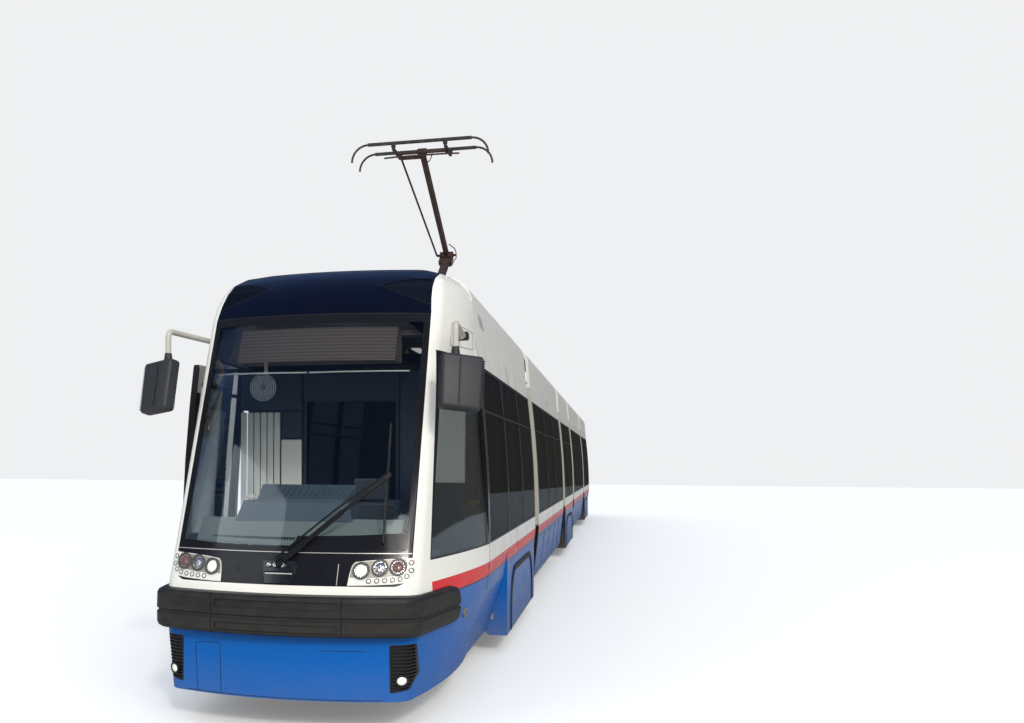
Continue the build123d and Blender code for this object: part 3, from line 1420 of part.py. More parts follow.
for end in (-1, 1):
    strip_y = y + end * STRIP_SPACING / 2
    head += block(
        -STRIP_HALF,
        STRIP_HALF,
        strip_y - STRIP_WIDTH / 2,
        strip_y + STRIP_WIDTH / 2,
        strip_low,
        strip_low + STRIP_HEIGHT,
    )
save("pantograph_head", head)
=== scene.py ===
from math import atan2, cos, hypot, pi, radians, sin, sqrt

import bmesh
import bpy
from mathutils import Matrix, Vector
from mathutils.bvhtree import BVHTree


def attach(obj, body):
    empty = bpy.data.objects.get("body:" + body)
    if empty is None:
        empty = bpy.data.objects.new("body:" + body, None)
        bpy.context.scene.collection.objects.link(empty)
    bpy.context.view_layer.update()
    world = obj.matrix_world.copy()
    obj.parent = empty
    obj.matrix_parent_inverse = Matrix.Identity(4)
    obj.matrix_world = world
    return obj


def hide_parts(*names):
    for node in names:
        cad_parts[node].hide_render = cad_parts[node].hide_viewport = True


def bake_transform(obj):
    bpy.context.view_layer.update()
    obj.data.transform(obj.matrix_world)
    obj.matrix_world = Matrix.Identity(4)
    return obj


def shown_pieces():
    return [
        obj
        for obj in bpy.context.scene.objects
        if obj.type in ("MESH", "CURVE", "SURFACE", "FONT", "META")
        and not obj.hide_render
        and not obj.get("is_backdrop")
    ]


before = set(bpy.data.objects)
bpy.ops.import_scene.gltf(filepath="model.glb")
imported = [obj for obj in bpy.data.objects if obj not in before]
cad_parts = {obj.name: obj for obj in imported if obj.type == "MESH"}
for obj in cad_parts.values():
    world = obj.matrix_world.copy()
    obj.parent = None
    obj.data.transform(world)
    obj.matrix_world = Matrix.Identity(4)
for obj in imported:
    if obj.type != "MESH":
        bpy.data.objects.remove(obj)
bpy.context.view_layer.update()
scene = bpy.context.scene

# The photograph's view: from head height, ahead of the nose and to the tram's left, looking along it.
# The picture is a crop, so the lens is shifted a little.
camera_data = bpy.data.cameras.new("street_view")
camera_data.sensor_width = 36
camera_data.lens = 34.30
camera_data.shift_x = 0.1260
camera_data.shift_y = 0.0995
camera_data.clip_end = 200
camera = bpy.data.objects.new("street_view", camera_data)
camera.location = (2.2484, -21.185, 1.839)
camera.rotation_euler = (radians(90), radians(-0.291), radians(13.728))
scene.collection.objects.link(camera)
scene.camera = camera
scene.view_settings.view_transform = "Standard"

# Studio: a pale floor under the wheels, a pale wall all round, and soft light from above and both sides.
# The wheels stand on the floor by their flanges.
def new_finish(name, colour, roughness, **sockets):
    material = bpy.data.materials.new(name)
    material.use_nodes = True
    material.diffuse_color = (*colour, 1)
    shader = material.node_tree.nodes["Principled BSDF"]
    shader.inputs["Base Color"].default_value = (*colour, 1)
    shader.inputs["Roughness"].default_value = roughness
    for socket, value in sockets.items():
        shader.inputs[socket.replace("_", " ")].default_value = value
    return material


def feed(tree, socket, value):
    """The value drives this socket of the main shader."""
    tree.links.new(value, tree.nodes["Principled BSDF"].inputs[socket])


def blend_colour(tree, share, first, second):
    node = tree.nodes.new("ShaderNodeMix")
    node.data_type = "RGBA"
    for index, value in ((0, share), (6, first), (7, second)):
        socket = node.inputs[index]
        if isinstance(value, (int, float)):
            socket.default_value = value
        elif isinstance(value, tuple):
            socket.default_value = (*value, 1)
        else:
            tree.links.new(value, socket)
    return node.outputs[2]


def spread(tree, value, low, high, to_low, to_high):
    node = tree.nodes.new("ShaderNodeMapRange")
    for index, number in enumerate((low, high, to_low, to_high), 1):
        node.inputs[index].default_value = number
    tree.links.new(value, node.inputs[0])
    return node.outputs[0]


def split_up(tree, vector):
    """The three parts of a vector."""
    node = tree.nodes.new("ShaderNodeSeparateXYZ")
    tree.links.new(vector, node.inputs[0])
    return node.outputs


floor_finish = new_finish("studio_floor", (0.80, 0.79, 0.77), 0.9, Specular_IOR_Level=0.1,
                          Emission_Strength=1.0)
ground = floor_finish.node_tree
to_camera = ground.nodes.new("ShaderNodeLightPath").outputs["Is Camera Ray"]
# the camera sees a paler floor than the tram's underside does
for socket, unseen, seen in (("Base Color", 0.42, 0.86), ("Emission Color", 0.0, 0.17)):
    dim, pale = (unseen, unseen, unseen * 0.98), (seen, seen * 0.995, seen * 0.98)
    feed(ground, socket, blend_colour(ground, to_camera, dim, pale))

studio_floor = bmesh.new()
bmesh.ops.create_grid(studio_floor, x_segments=2, y_segments=2, size=70)
floor_mesh = bpy.data.meshes.new("studio_floor")
studio_floor.to_mesh(floor_mesh)
studio_floor.free()
floor_object = bpy.data.objects.new("studio_floor", floor_mesh)
floor_mesh.materials.append(floor_finish)
scene.collection.objects.link(floor_object)
floor_object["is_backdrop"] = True

world = bpy.data.worlds.new("studio_air")
scene.world = world
world.use_nodes = True
air = world.node_tree
sky = air.nodes["Background"]
sky.inputs["Strength"].default_value = 1.0
backdrop = air.nodes.new("ShaderNodeBackground")
backdrop.inputs["Color"].default_value = (0.86, 0.87, 0.88, 1)
seen = air.nodes.new("ShaderNodeLightPath")
# reflections see a dim grey low down, with a deep blue over it
upward = split_up(air, air.nodes.new("ShaderNodeTexCoord").outputs["Generated"])[2]
height = spread(air, upward, 0.04, 0.55, 0.0, 1.0)
reflected = blend_colour(air, height, (0.120, 0.110, 0.100), (0.070, 0.130, 0.290))
lit = blend_colour(air, seen.outputs["Is Glossy Ray"], (0.80, 0.86, 0.95), reflected)
air.links.new(lit, sky.inputs["Color"])
either = air.nodes.new("ShaderNodeMixShader")
air.links.new(seen.outputs["Is Camera Ray"], either.inputs[0])
air.links.new(sky.outputs[0], either.inputs[1])
air.links.new(backdrop.outputs[0], either.inputs[2])
air.links.new(either.outputs[0], air.nodes["World Output"].inputs["Surface"])


def soft_light(name, place, aim, size, power, colour):
    light = bpy.data.lights.new(name, "AREA")
    light.shape = "RECTANGLE"
    light.size = size[0]
    light.size_y = size[1]
    light.energy = power
    light.color = colour
    holder = bpy.data.objects.new(name, light)
    holder.location = place
    holder.rotation_euler = (Vector(aim) - Vector(place)).to_track_quat("-Z", "Y").to_euler()
    scene.collection.objects.link(holder)


soft_light("front_left_light", (9, -27, 9), (0, -12, 1), (8, 6), 900, (1.0, 0.96, 0.90))
soft_light("front_right_light", (-8, -24, 7), (0, -12, 1), (6, 6), 240, (0.92, 0.96, 1.0))
sun = bpy.data.lights.new("low_sun", "SUN")
sun.energy = 1.0
sun.angle = radians(6)
sun.color = (1.0, 0.95, 0.87)
sun_holder = bpy.data.objects.new("low_sun", sun)
sun_holder.rotation_euler = (radians(58), 0, radians(28))
scene.collection.objects.link(sun_holder)

# Livery: gloss paint on steel and plastic panels, cream white above, a red stripe at the waist, blue below.
# The window band is black. Zones are set by the height over the rail, with road dust low down.
RAIL = 0.022
BLUE = (0.001, 0.110, 0.420)
RED = (0.700, 0.010, 0.012)
CREAM = (0.840, 0.815, 0.735)
BLACK = (0.010, 0.010, 0.012)
DUST = (0.23, 0.20, 0.165)
STRIPE_LOW = 0.885
STRIPE_HIGH = 0.992
BAND_LOW = 1.143
BAND_HIGH = 2.662
LINING = (0.60, 0.585, 0.53)
LINING_X = 1.149
UNDERSIDE = (0.022, 0.020, 0.019)
PIVOTS = (1.930, 8.210)


def reckon(tree, op, a, b=0.0, c=0.0):
    node = tree.nodes.new("ShaderNodeMath")
    node.operation = op
    for socket, value in zip(node.inputs, (a, b, c)):
        if isinstance(value, (int, float)):
            socket.default_value = value
        else:
            tree.links.new(value, socket)
    return node.outputs[0]


def over(tree, a, b):
    return reckon(tree, "GREATER_THAN", a, b)


def under(tree, a, b):
    return reckon(tree, "LESS_THAN", a, b)


def times(tree, a, b):
    return reckon(tree, "MULTIPLY", a, b)


def minus(tree, a, b):
    return reckon(tree, "SUBTRACT", a, b)


def place_on(tree):
    """Across, along from the tram's middle, and the height over the rail."""
    source = tree.nodes.new("ShaderNodeTexCoord").outputs["Object"]
    x, along, z = split_up(tree, source)
    return source, reckon(tree, "ABSOLUTE", x), along, minus(tree, z, RAIL)


def speckle(tree, source, scale, detail=3.0, stretch=None):
    noise = tree.nodes.new("ShaderNodeTexNoise")
    noise.inputs["Scale"].default_value = scale
    noise.inputs["Detail"].default_value = detail
    if stretch:
        mapping = tree.nodes.new("ShaderNodeMapping")
        mapping.inputs["Scale"].default_value = stretch
        tree.links.new(source, mapping.inputs["Vector"])
        source = mapping.outputs[0]
    tree.links.new(source, noise.inputs["Vector"])
    return noise.outputs["Fac"]


def orange_peel(tree, source, scale, depth):
    bump = tree.nodes.new("ShaderNodeBump")
    bump.inputs["Strength"].default_value = 1.0
    bump.inputs["Distance"].default_value = depth
    tree.links.new(speckle(tree, source, scale, 2.0), bump.inputs["Height"])
    feed(tree, "Normal", bump.outputs[0])


def road_dust(tree, source, height, colour, top=0.62, most=0.32):
    patches = speckle(tree, source, 2.6, 6.0, (1.0, 1.0, 2.2))
    streaks = speckle(tree, source, 9.0, 4.0, (1.0, 1.0, 0.12))
    low_down = spread(tree, height, 0.12, top, most, 0.0)
    grime = times(tree, low_down, reckon(tree, "ADD", patches, streaks))
    return blend_colour(tree, grime, colour, DUST)


def gloss_over(tree, source, height):
    rough = reckon(tree, "ADD", spread(tree, speckle(tree, source, 5.0), 0.3, 0.7, 0.16, 0.26),
                   spread(tree, height, 0.15, 0.7, 0.22, 0.0))
    feed(tree, "Roughness", rough)
    orange_peel(tree, source, 160.0, 0.00012)


def side_colours(tree, height):
    colour = blend_colour(tree, over(tree, height, STRIPE_LOW - 0.014), BLUE, (0.02, 0.02, 0.05))
    colour = blend_colour(tree, over(tree, height, STRIPE_LOW), colour, RED)
    return blend_colour(tree, over(tree, height, STRIPE_HIGH), colour, CREAM)


def body_livery():
    material = new_finish("body_livery", CREAM, 0.2, Specular_IOR_Level=0.25, Coat_Weight=0.05,
                          Coat_Roughness=0.08)
    tree = material.node_tree
    source, across, along, height = place_on(tree)
    colour = side_colours(tree, height)
    band = times(tree, over(tree, height, BAND_LOW), under(tree, height, BAND_HIGH))
    colour = blend_colour(tree, band, colour, BLACK)
    facing = split_up(tree, tree.nodes.new("ShaderNodeNewGeometry").outputs["True Normal"])
    inward = under(tree, times(tree, split_up(tree, source)[0], facing[0]), -0.2)
    lined = times(tree, over(tree, height, 0.36), under(tree, across, LINING_X))
    colour = blend_colour(tree, inward, colour, blend_colour(tree, lined, UNDERSIDE, LINING))
    end_face = over(tree, reckon(tree, "ABSOLUTE", facing[1]), 0.85)
    colour = blend_colour(tree, times(tree, end_face, under(tree, height, 1.0)), colour, BLUE)
    lengthwise = reckon(tree, "ABSOLUTE", along)
    for pivot in PIVOTS:
        near = under(tree, reckon(tree, "ABSOLUTE", minus(tree, lengthwise, pivot)), 0.7)
        upper = spread(tree, height, 0.98, 1.02, 0.0, 1.0)
        end_colour = blend_colour(tree, upper, (0.018, 0.012, 0.010), (0.52, 0.49, 0.42))
        colour = blend_colour(tree, times(tree, end_face, near), colour, end_colour)
    colour = road_dust(tree, source, height, colour)
    feed(tree, "Base Color", colour)
    gloss_over(tree, source, height)
    return material


def paint(name, *finishes):
    """The node takes these finishes, the first one all over."""
    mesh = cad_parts[name].data
    mesh.materials.clear()
    for finish in finishes:
        mesh.materials.append(finish)
    return mesh


body_paint = body_livery()
for letter in "abcde":
    paint(f"shell_{letter}", body_paint)

# Nose and tail masks: moulded panels in the same livery. The black surround of the screen runs up
# into a near-black navy fairing, and the window band starts at a leaning edge beside the pillar.
LENGTH = 30.12
NAVY = (0.002, 0.003, 0.011)
SURROUND_HALF = 0.868
SURROUND_TOP_HALF = 0.860
FAIRING_HALF = 0.835
SURROUND_LOW = 0.985
FAIRING_LOW = 2.945
STRIPE_START = 0.57
CAB_EDGE = 0.575
CAB_EDGE_LEAN = 0.28


def mask_livery():
    material = new_finish("mask_livery", CREAM, 0.2, Specular_IOR_Level=0.22, Coat_Weight=0.04,
                          Coat_Roughness=0.06)
    tree = material.node_tree
    source, across, along, height = place_on(tree)
    from_nose = minus(tree, LENGTH / 2, reckon(tree, "ABSOLUTE", along))
    sides = side_colours(tree, height)
    face = blend_colour(tree, over(tree, height, 0.80), BLUE, CREAM)
    colour = blend_colour(tree, over(tree, from_nose, STRIPE_START), face, sides)
    above = over(tree, height, SURROUND_LOW)
    corner = reckon(tree, "MAXIMUM", minus(tree, SURROUND_LOW + 0.11, height), 0.0)
    reach = reckon(tree, "MAXIMUM", minus(tree, across, SURROUND_HALF - 0.11), 0.0)
    rounded = under(tree, reckon(tree, "SQRT", reckon(
        tree, "ADD", times(tree, corner, corner), times(tree, reach, reach))), 0.11)
    half = minus(tree, spread(tree, height, 1.2, FAIRING_LOW, SURROUND_HALF, SURROUND_TOP_HALF),
                  spread(tree, height, FAIRING_LOW, 3.2, 0.0, SURROUND_TOP_HALF - FAIRING_HALF))
    narrowed = under(tree, across, half)
    surround = times(tree, times(tree, above, rounded), narrowed)
    front_half = under(tree, from_nose, spread(tree, height, 0.9, 3.0, 0.62, 1.15))
    roof = over(tree, height, FAIRING_LOW)
    not_side = reckon(tree, "MAXIMUM", front_half, roof)
    surround = times(tree, surround, not_side)
    colour = blend_colour(tree, surround, colour, BLACK)
    fairing = times(tree, surround, roof)
    colour = blend_colour(tree, fairing, colour, NAVY)
    edge = spread(tree, height, 1.155, 2.65, CAB_EDGE, CAB_EDGE + CAB_EDGE_LEAN * 1.495)
    band = times(tree, over(tree, height, BAND_LOW), under(tree, height, BAND_HIGH))
    behind = over(tree, from_nose, edge)
    outboard = over(tree, across, 0.90)
    band = times(tree, times(tree, band, behind), outboard)
    colour = blend_colour(tree, band, colour, BLACK)
    colour = road_dust(tree, source, height, colour, 0.5, 0.18)
    feed(tree, "Base Color", colour)
    gloss_over(tree, source, height)
    return material


mask_paint = mask_livery()


def smoothed(node, angle=28):
    """The node's facets are welded and shaded round, apart from edges sharper than the angle."""
    node.data.polygons.foreach_set("use_smooth", [True] * len(node.data.polygons))
    weld = node.modifiers.new("weld", "WELD")
    weld.merge_threshold = 0.00002
    split = node.modifiers.new("split", "EDGE_SPLIT")
    split.split_angle = radians(angle)


for name in ("nose_mask", "tail_mask"):
    paint(name, mask_paint)
    smoothed(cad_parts[name])

# Face details are drawn flat, as across, relief and height, and then laid on the moulded face, so that
# each follows its curve. The same shape, turned end for end, goes on the tail.
NOSE = -LENGTH / 2


def surface_of(*names):
    points = []
    faces = []
    for name in names:
        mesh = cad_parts[name].data
        start = len(points)
        points += [v.co.copy() for v in mesh.vertices]
        faces += [[start + i for i in polygon.vertices] for polygon in mesh.polygons]
    return BVHTree.FromPolygons(points, faces)


face_surface = surface_of("nose_mask", "windscreen")


def lay_on_face(bm, surface=face_surface):
    for v in bm.verts:
        across, relief, height = v.co
        start = Vector((across, NOSE - 1, height + RAIL))
        hit, normal, index, distance = surface.ray_cast(start, Vector((0, 1, 0)))
        if hit is None:
            hit, normal, index, distance = surface.find_nearest(Vector((across, NOSE + 0.5, height + RAIL)))
        if normal.y > 0:
            normal = -normal
        v.co = hit + normal * relief


def made_verts(made):
    return [g for g in made["geom"] if isinstance(g, bmesh.types.BMVert)]


def plate(bm, outline, relief, sink, step=0.03):
    """A flat plate with this outline of (across, height), cut in upright strips so that it can bend."""
    corners = [bm.verts.new((x, relief, z)) for x, z in outline]
    face = bm.faces.new(corners)
    extruded = bmesh.ops.extrude_face_region(bm, geom=[face])
    for v in made_verts(extruded):
        v.co.y = sink
    low = min(x for x, z in outline)
    high = max(x for x, z in outline)
    cut = low + step
    while cut < high - step / 3:
        bmesh.ops.bisect_plane(bm, geom=bm.verts[:] + bm.edges[:] + bm.faces[:], dist=1e-6,
                               plane_co=(cut, 0, 0), plane_no=(1, 0, 0))
        cut += step


def spun(bm, geom, centre, segments):
    bmesh.ops.spin(bm, geom=geom, cent=centre, axis=(0, 1, 0), angle=2 * pi, steps=segments, use_merge=True,
                   use_duplicate=False)


def ring(bm, across, height, radius, width, low, high, segments=40):
    """A turned ring, proud of the face."""
    inner, outer = radius - width / 2, radius + width / 2
    profile = ((inner, low), (inner, high), (outer, high), (outer, low))
    verts = [bm.verts.new((across + r, relief, height)) for r, relief in profile]
    edges = [bm.edges.new((verts[i], verts[i - 1])) for i in range(4)]
    spun(bm, verts + edges, (across, 0, height), segments)


def joined(bm):
    bmesh.ops.remove_doubles(bm, verts=bm.verts[:], dist=1e-6)
    bmesh.ops.recalc_face_normals(bm, faces=bm.faces[:])


def finished(name, bm, body, finish, edge=0.0, smooth=35, tidy=True):
    if tidy:
        joined(bm)
    mesh = bpy.data.meshes.new(name)
    bm.to_mesh(mesh)
    bm.free()
    mesh.polygons.foreach_set("use_smooth", [True] * len(mesh.polygons))
    mesh.set_sharp_from_angle(angle=radians(smooth))
    mesh.materials.append(finish)
    piece = bpy.data.objects.new(name, mesh)
    scene.collection.objects.link(piece)
    if edge:
        rounding = piece.modifiers.new("rounding", "BEVEL")
        rounding.width = edge
        rounding.segments = 2
        rounding.limit_method = "ANGLE"
        rounding.angle_limit = radians(40)
    if body:
        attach(piece, body)
    return piece


def turned_end_for_end(bm):
    bmesh.ops.scale(bm, vec=(1, -1, 1), verts=bm.verts[:])
    bmesh.ops.reverse_faces(bm, faces=bm.faces[:])


def both_ends(name, draw, finish, edge=0.0, surface=face_surface, tail_finish=None):
    """The same face detail on the nose and on the tail."""
    made = []
    for place, body in (("nose", "section_a"), ("tail", "section_e")):
        bm = bmesh.new()
        draw(bm)
        joined(bm)
        lay_on_face(bm, surface)
        if place == "tail":
            turned_end_for_end(bm)
        chosen = tail_finish if tail_finish and place == "tail" else finish
        made.append(finished(f"{place}_{name}", bm, body, chosen, edge, tidy=False))
    return made


# Lamp clusters: a bright moulded surround on each side, with three round lamps in deep rims, a row of
# small round lights along its lower and outer edge, and clear covers.
CLUSTER = ((0.457, 0.990), (0.462, 1.047), (0.470, 1.095), (0.478, 1.124), (0.496, 1.144), (0.573, 1.154),
           (0.689, 1.164), (0.813, 1.170), (0.872, 1.173), (0.884, 1.163), (0.892, 1.076), (0.884, 1.047),
           (0.858, 1.022), (0.827, 1.009), (0.753, 1.000), (0.605, 0.993))
TROUGH = ((0.468, 1.043), (0.474, 1.092), (0.482, 1.122), (0.499, 1.139), (0.573, 1.149), (0.689, 1.159),
          (0.828, 1.166), (0.837, 1.145), (0.841, 1.111), (0.826, 1.082), (0.796, 1.065), (0.749, 1.054),
          (0.674, 1.046), (0.585, 1.042))
LAMP_PLACES = ((0.541, 1.087), (0.663, 1.105), (0.780, 1.111))
LAMP_RADIUS = 0.047
SMALL_LIGHTS = ((0.596, 1.020), (0.649, 1.022), (0.701, 1.025), (0.751, 1.028), (0.800, 1.035),
                (0.841, 1.052), (0.866, 1.090), (0.863, 1.141))

bright_moulding = new_finish("bright_moulding", (0.30, 0.27, 0.22), 0.38, Metallic=0.4, Coat_Weight=0.1)
cluster_cream = new_finish("cluster_cream", (0.78, 0.76, 0.69), 0.3, Specular_IOR_Level=0.25)
lamp_chrome = new_finish("lamp_chrome", (0.62, 0.60, 0.55), 0.16, Metallic=1.0)
dark_rim = new_finish("dark_rim", (0.028, 0.022, 0.016), 0.4, Specular_IOR_Level=0.3)
warm_bulb = new_finish("warm_bulb", (0.90, 0.88, 0.78), 0.25, Emission_Strength=0.12,
                       Emission_Color=(1.0, 0.96, 0.86, 1))
amber_lens = new_finish("amber_lens", (0.13, 0.030, 0.018), 0.12, Coat_Weight=0.4)
red_lens = new_finish("red_lens", (0.45, 0.008, 0.010), 0.12, Coat_Weight=1.0)
chrome_tree = lamp_chrome.node_tree
facets = chrome_tree.nodes.new("ShaderNodeTexVoronoi")
facets.inputs["Scale"].default_value = 90
chrome_coordinates = chrome_tree.nodes.new("ShaderNodeTexCoord")
chrome_tree.links.new(chrome_coordinates.outputs["Object"], facets.inputs["Vector"])
facet_bump = chrome_tree.nodes.new("ShaderNodeBump")
facet_bump.inputs["Distance"].default_value = 0.002
chrome_tree.links.new(facets.outputs["Distance"], facet_bump.inputs["Height"])
feed(chrome_tree, "Normal", facet_bump.outputs[0])


def mirrored(points):
    return [(-x, z) for x, z in reversed(points)]


def either_side(places):
    return [(side * x, z) for side in (-1, 1) for x, z in places]


def drawing(shape, rows):
    """What draws this shape once for each row of its values."""
    def draw(bm):
        for row in rows:
            shape(bm, *row)
    return draw


def turned_bowl(bm, across, height, profile, segments=32):
    verts = [bm.verts.new((across + r, relief, height)) for r, relief in profile]
    edges = [bm.edges.new((first, second)) for first, second in zip(verts, verts[1:])]
    spun(bm, verts + edges, (across, 0, height), segments)


BOWL = ((LAMP_RADIUS - 0.003, 0.0075), (LAMP_RADIUS * 0.72, 0.0062), (LAMP_RADIUS * 0.4, 0.0068),
        (LAMP_RADIUS * 0.36, 0.010), (0.0004, 0.0125))
BULB = ((LAMP_RADIUS * 0.80, 0.0078), (LAMP_RADIUS * 0.62, 0.0125), (LAMP_RADIUS * 0.3, 0.0155),
        (0.0003, 0.0162))
SMALL_BULB = ((0.0125, 0.0040), (0.008, 0.0058), (0.0003, 0.0065))
LAMPS = either_side(LAMP_PLACES)
SMALL = either_side(SMALL_LIGHTS)
surrounds = drawing(plate, [(points, 0.003, -0.004) for points in (CLUSTER, mirrored(CLUSTER))])
troughs = drawing(plate, [(points, 0.0048, -0.002) for points in (TROUGH, mirrored(TROUGH))])
rims = drawing(ring, [(*place, LAMP_RADIUS + 0.003, 0.014, 0.002, 0.016) for place in LAMPS])
small_rims = drawing(ring, [(*place, 0.0145, 0.0045, 0.002, 0.0065, 20) for place in SMALL])
small_lights = drawing(turned_bowl, [(*place, SMALL_BULB, 16) for place in SMALL])
both_ends("lamp_surrounds", surrounds, cluster_cream, 0.0015)
both_ends("lamp_troughs", troughs, bright_moulding, 0.0010)
both_ends("lamp_rims", rims, dark_rim, 0.001)
both_ends("lamp_bowls", drawing(turned_bowl, [(*place, BOWL) for place in LAMPS]), lamp_chrome)
both_ends("small_light_rims", small_rims, dark_rim)
both_ends("small_lights", small_lights, cluster_cream, tail_finish=red_lens)
LAMP_FINISHES = (("headlamp", warm_bulb, red_lens), ("middle", lamp_chrome, amber_lens),
                 ("outer", amber_lens, red_lens))
for (name, finish, tail_finish), place in zip(LAMP_FINISHES, LAMP_PLACES):
    bulbs = drawing(turned_bowl, [(*middle, BULB) for middle in either_side([place])])
    both_ends(f"{name}_bulbs", bulbs, finish, tail_finish=tail_finish)

# Clear covers over the lamps: one thin moulded pane of clear plastic over each cluster, a little smaller
# than the surround that holds it.
clear_cover = new_finish("clear_cover", (0.9, 0.92, 0.93), 0.03, Alpha=0.03)
clear_cover.surface_render_method = "BLENDED"


def draw_covers(bm):
    for points in (CLUSTER, mirrored(CLUSTER)):
        middle = (sum(x for x, z in points) / len(points), sum(z for x, z in points) / len(points))
        smaller = [(middle[0] + (x - middle[0]) * 0.975, middle[1] + (z - middle[1]) * 0.95)
                   for x, z in points]
        plate(bm, smaller, 0.021, 0.0185)


both_ends("lamp_covers", draw_covers, clear_cover)
for end, node in (("nose", "front_lamps"), ("tail", "tail_lamps")):
    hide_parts(node)

# Gloss black panel between the clusters: the wiper's plinth with three caps and a bright strip, a thin
# bright line under the screen, and one beside the left cluster.
gloss_black = new_finish("gloss_black", (0.010, 0.010, 0.012), 0.12, Specular_IOR_Level=0.4,
                         Coat_Weight=0.1, Coat_Roughness=0.04)
tree = gloss_black.node_tree
source, across, along, height = place_on(tree)
feed(tree, "Roughness", spread(tree, speckle(tree, source, 14.0), 0.35, 0.7, 0.09, 0.22))
bright_strip = new_finish("bright_strip", (0.62, 0.60, 0.53), 0.32, Metallic=0.5)
PLINTH = ((-0.118, 0.992), (-0.152, 1.128), (-0.140, 1.140), (0.086, 1.140), (0.100, 1.128), (0.076, 0.992))
PLINTH_SHELF = ((-0.128, 1.064), (-0.132, 1.136), (0.080, 1.136), (0.086, 1.064))


def draw_plinth(bm):
    plate(bm, PLINTH, 0.016, -0.004)
    plate(bm, PLINTH_SHELF, 0.034, 0.010)
    ring(bm, 0.262, 1.090, 0.010, 0.003, 0.0, 0.004, 18)
    ring(bm, -0.330, 1.085, 0.012, 0.004, 0.0, 0.004, 18)


BRIGHT_LINES = (
    (((-0.120, 1.052), (-0.120, 1.060), (0.074, 1.060), (0.074, 1.052)), 0.0185, 0.010),
    (((-0.862, 1.199), (-0.862, 1.2035), (0.862, 1.2035), (0.862, 1.199)), 0.0035, -0.002),
    (((0.383, 0.992), (0.383, 1.130), (0.388, 1.130), (0.388, 0.992)), 0.0030, -0.002),
)
CAP = ((0.017, 0.030), (0.017, 0.044), (0.013, 0.048), (0.0003, 0.048))
caps = drawing(turned_bowl, [(x, 1.106, CAP, 24) for x in (-0.090, -0.045, 0.008)])
both_ends("wiper_plinth", draw_plinth, gloss_black, 0.004)
both_ends("bright_lines", drawing(plate, BRIGHT_LINES), bright_strip)
both_ends("plinth_caps", caps, lamp_chrome, 0.001)

# Windscreen and rear window: laminated glass with a printed black edge, broad along the foot, and a smoked
# header over the display. On the tram's left half the black foot reaches higher, and that raised part is
# painted shade under the desk's front edge. The panes beside the driver are the same glass.
def clear_glass(name, tint, screen, shine=0.75):
    material = new_finish(name, tint, 0.02)
    material.surface_render_method = "BLENDED"
    tree = material.node_tree
    tree.nodes.remove(tree.nodes["Principled BSDF"])
    source, across, along, height = place_on(tree)
    through = tree.nodes.new("ShaderNodeBsdfTransparent")
    gloss = tree.nodes.new("ShaderNodeBsdfGlossy")
    gloss.inputs["Roughness"].default_value = 0.03
    gloss.inputs["Color"].default_value = (0.75, 0.8, 0.82, 1)
    sheen = tree.nodes.new("ShaderNodeFresnel")
    sheen.inputs["IOR"].default_value = 1.40
    pane = tree.nodes.new("ShaderNodeMixShader")
    tree.links.new(times(tree, sheen.outputs[0], shine), pane.inputs[0])
    tree.links.new(through.outputs[0], pane.inputs[1])
    tree.links.new(gloss.outputs[0], pane.inputs[2])
    output = tree.nodes["Material Output"]
    if not screen:
        through.inputs["Color"].default_value = (*tint, 1)
        tree.links.new(pane.outputs[0], output.inputs["Surface"])
        return material
    smoked = spread(tree, height, 2.496, 2.508, 0.0, 1.0)
    tree.links.new(blend_colour(tree, smoked, tint, (0.62, 0.62, 0.63)), through.inputs["Color"])
    bow = times(tree, times(tree, across, across), 0.040)
    # On the tram's left half the black foot rises from 1.238 to 1.312 m over the rail. That raised part is
    # painted shade under the desk's front edge, not print.
    step = spread(tree, split_up(tree, source)[0], 0.045, 0.075, 1.238, 1.312)
    foot = under(tree, height, reckon(tree, "ADD", bow, step))
    head = over(tree, height, 2.872)
    edge = over(tree, across, spread(tree, height, 1.2, 2.9, 0.825, 0.812))
    print_and_shade = reckon(tree, "MAXIMUM", reckon(tree, "MAXIMUM", foot, head), edge)
    print_and_shade_black = tree.nodes.new("ShaderNodeBsdfPrincipled")
    print_and_shade_black.inputs["Base Color"].default_value = (*BLACK, 1)
    print_and_shade_black.inputs["Roughness"].default_value = 0.10
    print_and_shade_black.inputs["Specular IOR Level"].default_value = 0.2
    whole = tree.nodes.new("ShaderNodeMixShader")
    tree.links.new(print_and_shade, whole.inputs[0])
    tree.links.new(pane.outputs[0], whole.inputs[1])
    tree.links.new(print_and_shade_black.outputs[0], whole.inputs[2])
    tree.links.new(whole.outputs[0], output.inputs["Surface"])
    return material


screen_glass = clear_glass("screen_glass", (0.93, 0.95, 0.955), True)
for name in ("windscreen", "rear_window"):
    paint(name, screen_glass)

# Light line: a slim strip of bright metal across the screen, under the smoked header, in two lengths. It
# lies just behind the glass.
LIGHT_LINE = (
    (((-0.780, 2.494), (-0.780, 2.502), (-0.016, 2.495), (-0.016, 2.487)), -0.012, -0.020),
    (((0.004, 2.487), (0.004, 2.495), (0.742, 2.506), (0.742, 2.498)), -0.012, -0.020),
)
both_ends("screen_light_line", drawing(plate, LIGHT_LINE), bright_strip)

# Seams on the nose and tail: the joint between screen and fairing, the flaps and joints of the apron.
# Each is a narrow dark gasket, level with the paint.
seam_black = new_finish("seam_black", (0.008, 0.008, 0.010), 0.6)


def ribbon(start, end, width):
    """The four corners of a straight strip with square ends."""
    (x0, z0), (x1, z1) = start, end
    length = hypot(x1 - x0, z1 - z0)
    across, up = -(z1 - z0) / length * width / 2, (x1 - x0) / length * width / 2
    return (x0 - across, z0 - up), (x0 + across, z0 + up), (x1 + across, z1 + up), (x1 - across, z1 - up)


def line(bm, points, width, relief=0.0012, sink=-0.003):
    """A narrow strip along points of (across, height)."""
    for start, end in zip(points, points[1:]):
        plate(bm, ribbon(start, end, width), relief, sink, 0.04)


